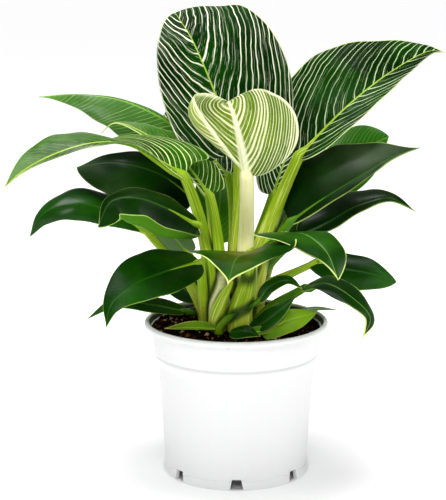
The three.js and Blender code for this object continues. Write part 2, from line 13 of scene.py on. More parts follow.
import bpy
import numpy as np
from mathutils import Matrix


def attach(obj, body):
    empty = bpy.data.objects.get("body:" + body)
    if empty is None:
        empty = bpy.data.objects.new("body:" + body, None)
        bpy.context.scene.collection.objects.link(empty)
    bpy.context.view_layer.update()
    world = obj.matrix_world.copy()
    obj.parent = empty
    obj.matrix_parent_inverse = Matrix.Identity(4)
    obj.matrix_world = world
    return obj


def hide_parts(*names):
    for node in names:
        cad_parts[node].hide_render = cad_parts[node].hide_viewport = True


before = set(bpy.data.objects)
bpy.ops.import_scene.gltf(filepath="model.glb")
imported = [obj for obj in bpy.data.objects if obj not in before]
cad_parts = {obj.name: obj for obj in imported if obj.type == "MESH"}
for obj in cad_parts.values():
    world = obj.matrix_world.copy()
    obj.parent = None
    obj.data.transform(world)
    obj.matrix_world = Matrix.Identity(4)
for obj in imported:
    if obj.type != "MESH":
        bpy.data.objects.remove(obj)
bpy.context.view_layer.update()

MM = 0.001
BODY = "root"
LOG = logging.getLogger("potted_philodendron")

Colour = tuple[float, float, float]
Point = tuple[float, float, float]


# ---- Shader graphs ----


class Value:
    """A number in a node tree; Python arithmetic on it adds Math nodes."""

    def __init__(self, graph: "Graph", socket: bpy.types.NodeSocket) -> None:
        """Wraps a socket of a graph."""
        self.graph = graph
        self.socket = socket

    def _math(self, operation: str, *operands: "Value | float") -> "Value":
        """Adds one Math node.

        Args:
            operation: The Math node's operation.
            operands: Its inputs, in order.

        Returns:
            The node's result.
        """
        node = self.graph.add("ShaderNodeMath", {"operation": operation}, dict(enumerate(operands)))
        return Value(self.graph, node.outputs[0])

    def __add__(self, other: "Value | float") -> "Value":
        """Sum."""
        return self._math("ADD", self, other)

    def __sub__(self, other: "Value | float") -> "Value":
        """Difference."""
        return self._math("SUBTRACT", self, other)

    def __rsub__(self, other: float) -> "Value":
        """Difference from a plain number."""
        return self._math("SUBTRACT", other, self)

    def __mul__(self, other: "Value | float") -> "Value":
        """Product."""
        return self._math("MULTIPLY", self, other)

    def __truediv__(self, other: "Value | float") -> "Value":
        """Quotient."""
        return self._math("DIVIDE", self, other)

    def __abs__(self) -> "Value":
        """Size without sign."""
        return self._math("ABSOLUTE", self)

    __radd__ = __add__
    __rmul__ = __mul__

    def whole(self) -> "Value":
        """Whole part."""
        return self._math("FLOOR", self)

    def root(self) -> "Value":
        """Square root."""
        return self._math("SQRT", self)

    def part(self) -> "Value":
        """Part after the whole one."""
        return self._math("FRACT", self)

    def larger(self, other: "Value | float") -> "Value":
        """The larger of two values."""
        return self._math("MAXIMUM", self, other)

    def rise(self, low: "Value | float", high: "Value | float") -> "Value":
        """A soft step.

        Args:
            low: Where it leaves zero.
            high: Where it reaches one.

        Returns:
            The step's value.
        """
        node = self.graph.add(
            "ShaderNodeMapRange",
            {"interpolation_type": "SMOOTHSTEP"},
            {"Value": self, "From Min": low, "From Max": high},
        )
        return Value(self.graph, node.outputs["Result"])


class Graph:
    """The node tree of one material or world."""

    def __init__(self, tree: bpy.types.NodeTree) -> None:
        """Empties the tree."""
        self.tree = tree
        tree.nodes.clear()

    def add(self, kind: str, settings: dict | None = None, inputs: dict | None = None) -> bpy.types.Node:
        """Adds a node.

        Args:
            kind: The node's type.
            settings: Its own settings, which are set first.
            inputs: Values or links by the name or number of its sockets.

        Returns:
            The node.
        """
        node = self.tree.nodes.new(kind)
        for key, value in (settings or {}).items():
            setattr(node, key, value)
        for key, value in (inputs or {}).items():
            self.feed(node.inputs[key], value)
        return node

    def feed(self, socket: bpy.types.NodeSocket, value: object) -> None:
        """Gives a socket a link or a fixed value.

        Args:
            socket: The input.
            value: A wrapped number, another socket, a colour or a plain number.
        """
        if isinstance(value, Value):
            value = value.socket
        if isinstance(value, bpy.types.NodeSocket):
            self.tree.links.new(value, socket)
        elif socket.type == "RGBA":
            socket.default_value = (*value, 1.0)
        else:
            socket.default_value = value

    def field(self, name: str) -> Value:
        """A number that the mesh carries at its points."""
        node = self.add("ShaderNodeAttribute", {"attribute_name": name})
        return Value(self, node.outputs["Fac"])

    def place(self) -> bpy.types.NodeSocket:
        """The point's place in the object."""
        return self.add("ShaderNodeTexCoord").outputs["Object"]

    def radius(self) -> Value:
        """The point's distance from the object's upright axis."""
        split = self.add("ShaderNodeSeparateXYZ", None, {0: self.place()})
        x, y = Value(self, split.outputs["X"]), Value(self, split.outputs["Y"])
        return (x * x + y * y).root()

    def vector(self, x: Value | float, y: Value | float, z: Value | float) -> bpy.types.NodeSocket:
        """A vector of three numbers."""
        return self.add("ShaderNodeCombineXYZ", None, {0: x, 1: y, 2: z}).outputs[0]

    def noise(self, where: bpy.types.NodeSocket, scale: float, detail: float = 2.0) -> Value:
        """Cloudy noise from zero to one.

        Args:
            where: The vector it is read at.
            scale: How many clouds there are to a unit.
            detail: How many finer layers it has.

        Returns:
            The noise.
        """
        node = self.add("ShaderNodeTexNoise", None, {"Vector": where, "Scale": scale, "Detail": detail})
        return Value(self, node.outputs[0])

    def chance(self, where: bpy.types.NodeSocket) -> Value:
        """A random number from zero to one, fixed for each vector."""
        return Value(self, self.add("ShaderNodeTexWhiteNoise", None, {"Vector": where}).outputs["Value"])

    def blend(self, share: Value | float, a: object, b: object) -> bpy.types.NodeSocket:
        """A colour between two.

        Args:
            share: How much of the second there is.
            a: The first colour.
            b: The second colour.

        Returns:
            The colour's socket.
        """
        node = self.add("ShaderNodeMix", {"data_type": "RGBA"})
        for index, value in ((0, share), (6, a), (7, b)):
            self.feed(node.inputs[index], value)
        return node.outputs[2]

    def bump(self, height: Value, depth: float, strength: float = 1.0) -> bpy.types.NodeSocket:
        """A normal tilted by a height.

        Args:
            height: The height, from zero to one.
            depth: What one means, in millimetres.
            strength: How much of it shows.

        Returns:
            The normal's socket.
        """
        inputs = {"Height": height, "Distance": depth * MM, "Strength": strength}
        return self.add("ShaderNodeBump", None, inputs).outputs[0]

    def finish(self, **inputs: object) -> None:
        """Adds the surface shader, with underscores for spaces in its sockets' names."""
        named = {key.replace("_", " "): value for key, value in inputs.items()}
        shader = self.add("ShaderNodeBsdfPrincipled", None, named)
        self.add("ShaderNodeOutputMaterial", None, {"Surface": shader.outputs[0]})


def new_graph(name: str) -> tuple[bpy.types.Material, Graph]:
    """Makes an empty material.

    Args:
        name: The material's name.

    Returns:
        The material and its graph.
    """
    material = bpy.data.materials.new(name)
    material.use_nodes = True
    return material, Graph(material.node_tree)


# ---- Finishes ----


@dataclass(frozen=True)
class LeafFinish:
    """A leaf skin: base greens, stripes along the side veins, midrib, margin and underside.

    Each show is a share from zero to one. The pale greyish tint towards the tip on the upper side is a
    painted sheen, standing in for the gloss's reflection, and blush a brownish tint at the neck. Widths
    are in millimetres, except stripe_width, which is a share of the gap between two side veins. Scales
    count the clouds of a noise to a metre.
    """

    slot: str
    deep: Colour
    bright: Colour
    stripe: Colour
    midrib: Colour
    margin: Colour
    under: Colour
    stripe_width: float = 0.2
    stripe_show: float = 0.0
    fine_show: float = 0.0
    margin_width: float = 0.5
    midrib_width: float = 1.0
    margin_show: float = 0.9
    ridge_show: float = 0.05
    fade_from: float = 1.0
    gloss: float = 0.3
    vein_depth: float = 0.16
    waver: float = 0.9
    under_show: float = 0.78
    shine: float = 1.2
    wax: float = 0.5
    blush: Colour = (0.115, 0.095, 0.006)
    blush_show: float = 0.0
    # The colour and share of a painted sheen: a pale greyish tint towards the tip.
    painted_sheen: Colour = (0.30, 0.47, 0.20)
    painted_sheen_show: float = 0.0

    WANDER_SCALE = 48.0
    CLOUD_SCALE = 22.0
    PAINTED_SHEEN_SCALE = 26.0
    PATCH_SCALE = 30.0
    WAX_SCALE = 16.0
    GRAIN_SCALE = 900.0
    PORE_SCALE = 420.0
    THIN_PER_GAP = 4.0

    def stripes(self, graph: Graph, wander: Value) -> tuple[Value, Value]:
        """Cream lines on the side veins, each with its own width and strength, and finer ones between.

        Args:
            graph: The material's graph.
            wander: Noise that makes the lines waver.

        Returns:
            The stripes' share of the colour, and how far a point is from its vein, from zero to one.
        """
        vein, seed, rib = graph.field("vein"), graph.field("seed"), graph.field("rib")
        line = vein + wander * self.waver
        cell = line.whole()
        off = abs(line.part() - 0.5) * 2.0
        luck = graph.chance(graph.vector(cell, seed, 0.0))
        width = self.stripe_width * (luck * luck * 2.0 + 0.35)
        streak = graph.noise(graph.vector(cell * 3.7, rib * 0.09, seed), 1.0, 3.0)
        strength = (streak + luck * 0.25).rise(0.42, 0.66) * self.fade(graph)
        main = (1.0 - off.rise(width * 0.6, width + 0.14)) * strength
        thin = vein * self.THIN_PER_GAP + wander * 1.6
        thin_off = abs(thin.part() - 0.5) * 2.0
        thin_luck = graph.chance(graph.vector(thin.whole(), seed, 4.0))
        dashes = graph.noise(graph.vector(thin.whole() * 5.3, rib * 0.3, seed), 1.0, 2.0)
        fine = (1.0 - thin_off.rise(0.08, 0.45)) * dashes.rise(0.45, 0.6) * thin_luck.rise(0.15, 0.8)
        share = (main * self.stripe_show).larger(fine * self.fine_show)
        return share, off

    def fade(self, graph: Graph) -> Value:
        """How strong the stripes are along the leaf: they weaken towards the tip on some leaves."""
        return 1.0 - graph.field("run").rise(self.fade_from, self.fade_from + 0.45)

    def material(self) -> bpy.types.Material:
        """Builds the leaf's material.

        Returns:
            The material.
        """
        material, graph = new_graph(self.slot)
        place = graph.place()
        wander = graph.noise(place, self.WANDER_SCALE) - 0.5
        cloud = graph.noise(place, self.CLOUD_SCALE, 4.0)
        grain = graph.noise(place, self.GRAIN_SCALE, 2.0)
        share, off = self.stripes(graph, wander)
        under, edge, rib = graph.field("under"), graph.field("edge"), graph.field("rib")
        green = graph.blend(cloud.rise(0.35, 0.72), self.deep, self.bright)
        ridge = 1.0 - off.rise(0.0, 0.4)
        green = graph.blend(ridge * self.ridge_show, green, self.stripe)
        green = graph.blend(grain.rise(0.45, 0.9) * 0.15, green, self.bright)
        colour = graph.blend(share, green, self.stripe)
        colour = graph.blend(under * self.under_show, colour, self.under)
        run = graph.field("run")
        inner = 1.0 - (run + wander * 0.5).rise(0.35, 0.8)
        tired = inner * (1.0 - (rib + wander * 8.0).rise(4.0, 16.0))
        colour = graph.blend(tired * cloud.rise(0.3, 0.55) * self.blush_show, colour, self.blush)
        # Painted sheen: a pale greyish tint towards the tip on the upper side stands in for the
        # reflection of the gloss.
        painted_sheen = run.rise(0.15, 0.75) * graph.noise(place, self.PAINTED_SHEEN_SCALE, 3.0).rise(0.32, 0.62)
        painted_sheen = painted_sheen * (1.0 - under)
        colour = graph.blend(painted_sheen * self.painted_sheen_show, colour, self.painted_sheen)
        taper = 1.0 - run * 0.75
        middle = 1.0 - (rib / taper).rise(self.midrib_width * 0.5, self.midrib_width * 1.25)
        colour = graph.blend(middle * 0.9, colour, self.midrib)
        rim = 1.0 - (edge + wander * 0.6).rise(self.margin_width * 0.5, self.margin_width)
        patchy = graph.noise(place, self.PATCH_SCALE, 3.0).rise(0.3, 0.6)
        colour = graph.blend(rim * patchy * self.margin_show, colour, self.margin)
        height = off.rise(0.0, 0.5) * 0.7 + graph.noise(place, self.PORE_SCALE, 3.0) * 0.3
        waxy = graph.noise(place, self.WAX_SCALE, 3.0).rise(0.42, 0.7) * (1.0 - under)
        graph.finish(
            Base_Color=colour,
            Roughness=self.gloss + cloud * 0.12 + under * 0.18,
            Normal=graph.bump(height, self.vein_depth, 0.6),
            IOR=self.shine,
            Coat_Weight=waxy * self.wax,
            Coat_Roughness=0.24,
            Coat_IOR=1.45,
        )
        return material


class LeafTone(Enum):
    """The kinds of leaf skin on this plant."""

    STRIPED = LeafFinish(
        "leaf_striped", (0.0006, 0.014, 0.0001), (0.005, 0.060, 0.0004), (0.90, 0.96, 0.70),
        (0.40, 0.58, 0.07), (0.86, 0.92, 0.62), (0.16, 0.30, 0.045),
        stripe_width=0.085, stripe_show=1.0, fine_show=0.32, margin_width=1.1,
        gloss=0.32, waver=1.5, shine=1.06, wax=0.12,
    )
    HALF_STRIPED = LeafFinish(
        "leaf_striped", (0.004, 0.045, 0.0005), (0.030, 0.16, 0.002), (0.70, 0.86, 0.30),
        (0.42, 0.60, 0.06), (0.60, 0.74, 0.26), (0.10, 0.26, 0.012),
        stripe_width=0.10, stripe_show=1.0, fine_show=0.3, margin_width=0.8, fade_from=0.15, gloss=0.34,
        shine=1.12, wax=0.5, painted_sheen_show=0.34,
    )
    PINSTRIPED = LeafFinish(
        "leaf_striped", (0.0006, 0.014, 0.0001), (0.006, 0.062, 0.0006), (0.62, 0.76, 0.42),
        (0.40, 0.58, 0.07), (0.60, 0.76, 0.30), (0.16, 0.30, 0.045),
        stripe_width=0.045, stripe_show=0.9, fine_show=0.22, margin_width=0.9,
        gloss=0.32, waver=1.2, shine=1.06, wax=0.2,
    )
    YOUNG = LeafFinish(
        "leaf_young", (0.055, 0.125, 0.002), (0.16, 0.27, 0.006), (0.93, 0.96, 0.56),
        (0.93, 0.94, 0.62), (0.93, 0.96, 0.62), (0.62, 0.72, 0.22),
        stripe_width=0.28, stripe_show=1.0, fine_show=0.7, margin_width=2.2, midrib_width=4.0,
        ridge_show=0.15, gloss=0.4, waver=0.9, under_show=0.3, shine=1.15, wax=0.1,
    )
    DARK = LeafFinish(
        "leaf_dark", (0.0014, 0.024, 0.0003), (0.012, 0.095, 0.001), (0.06, 0.16, 0.03),
        (0.02, 0.09, 0.006), (0.42, 0.60, 0.10), (0.07, 0.22, 0.008),
        margin_width=0.5, margin_show=0.55, gloss=0.24, vein_depth=0.05, ridge_show=0.03,
    )
    DUSKY = LeafFinish(
        "leaf_dark", (0.0004, 0.008, 0.0001), (0.004, 0.036, 0.0004), (0.06, 0.16, 0.03),
        (0.02, 0.09, 0.006), (0.46, 0.62, 0.14), (0.07, 0.22, 0.008),
        margin_width=0.8, margin_show=0.75, gloss=0.27, vein_depth=0.05, ridge_show=0.02,
        shine=1.12, wax=0.45, painted_sheen_show=0.10,
    )
    EDGED = LeafFinish(
        "leaf_dark", (0.0020, 0.024, 0.0003), (0.020, 0.115, 0.002), (0.08, 0.20, 0.03),
        (0.16, 0.32, 0.05), (0.66, 0.80, 0.22), (0.15, 0.36, 0.010),
        midrib_width=0.7, margin_width=1.1, margin_show=1.0, gloss=0.25, vein_depth=0.06, ridge_show=0.03,
    )
    FRONT = LeafFinish(
        "leaf_dark", (0.0025, 0.028, 0.0003), (0.018, 0.098, 0.0016), (0.10, 0.24, 0.03),
        (0.08, 0.20, 0.02), (0.66, 0.80, 0.22), (0.15, 0.36, 0.010),
        midrib_width=0.7, margin_width=1.1, margin_show=1.0, gloss=0.25, vein_depth=0.06, ridge_show=0.03,
        shine=1.1, wax=0.12, blush_show=0.85,
    )
    # Lighter green, partly the leaves' own fresher green and partly painted light shining through them
    # from behind.
    FRESH_AND_BACKLIT = LeafFinish(
        "leaf_fresh", (0.018, 0.12, 0.002), (0.055, 0.23, 0.005), (0.22, 0.46, 0.05),
        (0.14, 0.36, 0.02), (0.30, 0.50, 0.08), (0.09, 0.28, 0.008),
        stripe_width=0.07, stripe_show=0.35, margin_width=0.5, margin_show=0.6,
        gloss=0.36, vein_depth=0.08,
    )
    SAGE = LeafFinish(
        "leaf_fresh", (0.030, 0.13, 0.006), (0.105, 0.27, 0.030), (0.34, 0.52, 0.16),
        (0.20, 0.40, 0.05), (0.36, 0.50, 0.16), (0.12, 0.30, 0.02),
        stripe_width=0.09, stripe_show=0.5, margin_width=0.5, margin_show=0.6, gloss=0.4, vein_depth=0.1,
        painted_sheen_show=0.16,
    )
    PALE = LeafFinish(
        "leaf_pale", (0.035, 0.17, 0.003), (0.26, 0.44, 0.015), (0.36, 0.52, 0.04),
        (0.34, 0.50, 0.04), (0.45, 0.40, 0.08), (0.18, 0.36, 0.015), gloss=0.38, vein_depth=0.08,
    )
    GREY = LeafFinish(
        "leaf_grey", (0.05, 0.13, 0.03), (0.16, 0.26, 0.11), (0.34, 0.42, 0.26),
        (0.26, 0.36, 0.16), (0.40, 0.46, 0.24), (0.18, 0.26, 0.13), gloss=0.45, vein_depth=0.08,
    )

    @cache
    def material(self) -> bpy.types.Material:
        """The tone's material, made once."""
        return self.value.material()


@dataclass(frozen=True)
class StalkFinish:
    """A fleshy stalk's skin: a pale foot, streaks along it, brown dry edges on its wings, and painted
    shade on its inner side, near other stalks and at the soil.
    """

    slot: str
    foot: Colour
    middle: Colour
    top: Colour
    streak: Colour
    # Dark green used both for the skin's own streaks and for painted shade on the inner side.
    channel: Colour
    shadow: Colour = (0.010, 0.040, 0.0004)
    scar: Colour = (0.14, 0.035, 0.008)
    scar_show: float = 0.8
    gloss: float = 0.36

    def material(self) -> bpy.types.Material:
        """Builds the stalk's material.

        Returns:
            The material.
        """
        material, graph = new_graph(self.slot)
        place = graph.place()
        run, x, y, length = (graph.field(name) for name in ("run", "ring_x", "ring_y", "length"))
        seed = graph.field("seed")
        fibres = graph.noise(graph.vector(x * 6.0 + seed, y * 6.0, length * 0.035), 1.0, 3.0)
        cloud = graph.noise(place, 55.0, 3.0)
        waver = run + (cloud - 0.5) * 0.3
        colour = graph.blend(waver.rise(0.05, 0.42), self.foot, self.middle)
        colour = graph.blend(waver.rise(0.45, 0.95), colour, self.top)
        colour = graph.blend(fibres.rise(0.50, 0.64) * 0.8, colour, self.streak)
        colour = graph.blend((1.0 - fibres.rise(0.32, 0.44)) * 0.4, colour, self.channel)
        # Painted shade: the inner side, which faces the middle of the clump, is darkened in streaks with
        # the channel colour; the line above uses that colour for the skin's own dark streaks.
        colour = graph.blend(x.rise(0.72, 1.0) * fibres.rise(0.2, 0.6) * 0.75, colour, self.channel)
        wing = 1.0 - abs(x - 0.62 + (cloud - 0.5) * 0.1).rise(0.02, 0.07)
        dry = wing * graph.field("wing") * graph.noise(place, 170.0, 3.0).rise(0.42, 0.56)
        spots = graph.noise(place, 380.0, 2.0).rise(0.66, 0.74) * (1.0 - run.rise(0.1, 0.5)) * 0.5
        colour = graph.blend(dry.larger(spots) * self.scar_show, colour, self.scar)
        # Painted shade where the stalk lies near another stalk and at its foot by the soil.
        colour = graph.blend(graph.field("crease_shade").rise(0.1, 0.85) * 0.9, colour, self.shadow)
        height = fibres * 0.7 + graph.noise(place, 700.0, 2.0) * 0.3
        graph.finish(
            Base_Color=colour,
            Roughness=self.gloss + cloud * 0.16,
            Normal=graph.bump(height, 0.35, 0.7),
            IOR=1.25,
        )
        return material


class StalkTone(Enum):
    """The kinds of stalk skin."""

    GREEN = StalkFinish(
        "stalk_green", (0.50, 0.58, 0.045), (0.25, 0.43, 0.006), (0.19, 0.37, 0.005),
        (0.55, 0.68, 0.06), (0.04, 0.15, 0.001),
    )
    LIME = StalkFinish(
        "stalk_lime", (0.58, 0.64, 0.06), (0.30, 0.47, 0.008), (0.30, 0.49, 0.008),
        (0.76, 0.82, 0.18), (0.12, 0.27, 0.003),
    )
    DEEP = StalkFinish(
        "stalk_deep", (0.16, 0.30, 0.004), (0.055, 0.19, 0.002), (0.050, 0.18, 0.002),
        (0.16, 0.34, 0.010), (0.015, 0.07, 0.0006), scar_show=0.3,
    )
    CREAM = StalkFinish(
        "stalk_cream", (0.86, 0.84, 0.28), (0.97, 0.94, 0.44), (0.98, 0.95, 0.50),
        (0.97, 0.95, 0.66), (0.72, 0.74, 0.16), scar=(0.42, 0.16, 0.05), scar_show=0.6,
    )

    @cache
    def material(self) -> bpy.types.Material:
        """The tone's material, made once."""
        return self.value.material()

    def slot(self) -> str:
        """The record's slot that the tone belongs to."""
        return "stalk_cream" if self is StalkTone.CREAM else "stalk_green"


@dataclass(frozen=True)
class PotPlastic:
    """White moulded polypropylene with a soft gloss and faint flow marks, grey lines of painted shade
    under the band's ledge and the rim's bead, and the inner wall above the soil darkened, partly by soil
    and partly by painted shade.
    """

    slot: str = "pot_plastic"
    white: Colour = (0.84, 0.84, 0.843)
    shade: Colour = (0.81, 0.812, 0.817)
    dust: Colour = (0.55, 0.52, 0.47)
    # Grey for the painted shade lines under the ledge and under the rim.
    under_edge_shade: Colour = (0.42, 0.425, 0.44)
    # Near-black for soil on the inner wall together with painted shade there.
    soil: Colour = (0.012, 0.008, 0.005)
    gloss: float = 0.34

    def material(self) -> bpy.types.Material:
        """Builds the plastic's material.

        Returns:
            The material.
        """
        material, graph = new_graph(self.slot)
        place = graph.place()
        height = graph.field("height")
        flow = graph.noise(graph.vector(graph.field("turn") * 40.0, height * 0.012, 0.0), 1.0, 3.0)
        fine = graph.noise(place, 1400.0, 2.0)
        cloud = graph.noise(place, 30.0, 3.0)
        colour = graph.blend(flow.rise(0.35, 0.75) * 0.25, self.white, self.shade)
        grime = graph.noise(place, 160.0, 4.0).rise(0.55, 0.8) * graph.field("inside") * 0.6
        scuff = graph.noise(place, 420.0, 3.0).rise(0.66, 0.76) * (1.0 - height.rise(1.0, 16.0)) * 0.25
        colour = graph.blend(grime.larger(scuff), colour, self.dust)
        # Painted shade: thin grey lines under the band's ledge and under the rim's bead, where the
        # surface faces down.
        ledge_shade = height.rise(76.5, 79.2) * (1.0 - height.rise(79.4, 80.2))
        lip_shade = height.rise(95.4, 96.3) * (1.0 - height.rise(96.5, 98.0)) * (1.0 - graph.field("inside"))
        colour = graph.blend((ledge_shade * 0.5).larger(lip_shade * 0.3), colour, self.under_edge_shade)
        # Partly soil smeared on the inner wall, partly painted shade: the inner wall is darkened to near
        # black just above the soil.
        soil_and_shade = graph.field("inside") * (1.0 - (height + (cloud - 0.5) * 3.0).rise(97.6, 100.2))
        colour = graph.blend(soil_and_shade, colour, self.soil)
        graph.finish(
            Base_Color=colour,
            Roughness=self.gloss + cloud * 0.14,
            Normal=graph.bump(fine * 0.6 + flow * 0.4, 0.08, 0.25),
            IOR=1.46,
        )
        return material


@dataclass(frozen=True)
class SoilFinish:
    """Damp peat: near-black brown with rusty and tan crumbs."""

    slot: str = "soil"
    damp: Colour = (0.0016, 0.0009, 0.0006)
    brown: Colour = (0.011, 0.0048, 0.0024)
    rust: Colour = (0.22, 0.060, 0.024)
    tan: Colour = (0.56, 0.38, 0.24)

    @cache
    def material(self) -> bpy.types.Material:
        """Builds the soil's material, which the crumbs share through their own tint.

        Returns:
            The material.
        """
        material, graph = new_graph(self.slot)
        place = graph.place()
        tint = graph.field("tint")
        lumps = graph.noise(place, 260.0, 5.0)
        grain = graph.noise(place, 900.0, 3.0)
        colour = graph.blend(lumps.rise(0.4, 0.68), self.damp, self.brown)
        rusty = grain.rise(0.66, 0.72) * 0.35
        colour = graph.blend(rusty.larger(tint.rise(0.62, 1.0) * 0.8), colour, self.rust)
        colour = graph.blend(tint.rise(0.94, 0.97), colour, self.tan)
        graph.finish(
            Base_Color=colour,
            Roughness=0.78 + grain * 0.2,
            Normal=graph.bump(lumps * 0.6 + grain * 0.4, 1.1, 0.9),
            IOR=1.12,
        )
        return material


# ---- Meshes from grids ----


def unit(vectors: np.ndarray) -> np.ndarray:
    """Vectors of length one, with zero ones left as they are."""
    length = np.linalg.norm(vectors, axis=-1, keepdims=True)
    return vectors / np.where(length > 1e-9, length, 1.0)


def bearing(azimuth: float, elevation: float) -> np.ndarray:
    """Unit vector at an azimuth and elevation in degrees."""
    a, e = np.radians(azimuth), np.radians(elevation)
    return np.array([np.cos(a) * np.cos(e), np.sin(a) * np.cos(e), np.sin(e)])


def stations(values: Iterable, at: np.ndarray) -> np.ndarray:
    """Straight-line values between evenly spaced stations.

    Args:
        values: A number or a vector for each station.
        at: Where to read them, from zero to one.

    Returns:
        One value, or one row, for each place.
    """
    table = np.asarray(values, float)
    knots = np.linspace(0.0, 1.0, len(table))
    if table.ndim == 1:
        return np.interp(at, knots, table)
    return np.stack([np.interp(at, knots, column) for column in table.T], axis=-1)


def curve_through(points: Iterable[Point], at: np.ndarray) -> np.ndarray:
    """Places on the centripetal Catmull-Rom curve through points, by share of its length.

    Each span is the cubic whose end slopes follow from the square roots of the neighbouring spans.

    Args:
        points: The points that the curve passes through.
        at: Shares of the length, from zero to one.

    Returns:
        One point for each share.
    """
    knots = np.asarray(points, float)
    knots = np.vstack([2 * knots[0] - knots[1], knots, 2 * knots[-1] - knots[-2]])
    w = np.linspace(0.0, 1.0, 60, endpoint=False)[:, None]
    spans = []
    for before, start, end, after in zip(knots, knots[1:], knots[2:], knots[3:]):
        gaps = np.diff([before, start, end, after], axis=0)
        d0, d1, d2 = np.linalg.norm(gaps, axis=1) ** 0.5
        leave = d1 * ((start - before) / d0 - (end - before) / (d0 + d1) + (end - start) / d1)
        arrive = d1 * ((end - start) / d1 - (after - start) / (d1 + d2) + (after - end) / d2)
        bend = -3 * start + 3 * end - 2 * leave - arrive
        spans.append(start + leave * w + bend * w**2 + (2 * start - 2 * end + leave + arrive) * w**3)
    line = np.vstack([*spans, knots[-2:-1]])
    reach = np.concatenate([[0.0], np.cumsum(np.linalg.norm(np.diff(line, axis=0), axis=1))])
    return np.stack([np.interp(at * reach[-1], reach, line[:, k]) for k in range(3)], axis=-1)


def shell(
    name: str,
    rings: np.ndarray,
    poles: tuple[np.ndarray, np.ndarray],
    fields: dict[str, tuple[np.ndarray, float, float]],
    material: bpy.types.Material,
    sharp: float | None = None,
) -> bpy.types.Object:
    """Closes a stack of rings with a fan at each pole and makes it an object.

    Args:
        name: The object's name.
        rings: Points in millimetres, as rows by points round by three.
        poles: The point before the first ring and the one after the last.
        fields: For each name, its value at each ring point and at the two poles.
        material: The finish.
        sharp: The angle in degrees past which an edge stays sharp, if any does.

    Returns:
        The object.
    """
    rows, across = rings.shape[:2]
    points = np.vstack([rings.reshape(-1, 3), *poles])
    i = np.arange(rows - 1)[:, None] * across
    j = np.arange(across)
    k = (j + 1) % across
    quads = np.stack([i + j, i + k, i + k + across, i + j + across], axis=-1).reshape(-1, 4)
    first, last = rows * across, rows * across + 1
    top = (rows - 1) * across
    fans = np.vstack([
        np.stack([np.full(across, first), k, j], axis=-1),
        np.stack([np.full(across, last), top + j, top + k], axis=-1),
    ])
    triangles = np.vstack([quads[:, [0, 1, 2]], quads[:, [0, 2, 3]], fans])
    a, b, c = (points[triangles[:, n]] for n in range(3))
    if np.einsum("ij,ij->", a, np.cross(b, c)) < 0:
        quads, fans = quads[:, ::-1], fans[:, ::-1]
    mesh = bpy.data.meshes.new(name)
    mesh.from_pydata((points * MM).tolist(), [], quads.tolist() + fans.tolist())
    for key, (values, start, end) in fields.items():
        column = np.concatenate([np.broadcast_to(values, (rows, across)).ravel(), [start, end]])
        mesh.attributes.new(key, "FLOAT", "POINT").data.foreach_set("value", column.astype(np.float32))
    return place_mesh(name, mesh, material, sharp)


def place_mesh(
    name: str, mesh: bpy.types.Mesh, material: bpy.types.Material, sharp: float | None = None
) -> bpy.types.Object:
    """Smooths a mesh, gives it its material and puts it in the scene at the origin.

    Args:
        name: The object's name.
        mesh: The mesh, in metres.
        material: The finish.
        sharp: The angle in degrees past which an edge stays sharp, if any does.

    Returns:
        The object.
    """
    mesh.materials.append(material)
    mesh.shade_smooth()
    if sharp is not None:
        mesh.set_sharp_from_angle(angle=np.radians(sharp))
    piece = bpy.data.objects.new(name, mesh)
    bpy.context.scene.collection.objects.link(piece)
    return piece


def publish(piece: bpy.types.Object, slot: str, *nodes: str) -> None:
    """Ties a piece to the frame.

    Args:
        piece: The object.
        slot: The record's material slot, which is only written to the log.
        nodes: The CAD nodes that it stands for.
    """
    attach(piece, BODY)
    if nodes:
        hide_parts(*nodes)
    LOG.info("%s: %d faces, slot %s", piece.name, len(piece.data.polygons), slot)


# ---- Stalks and sheaths ----


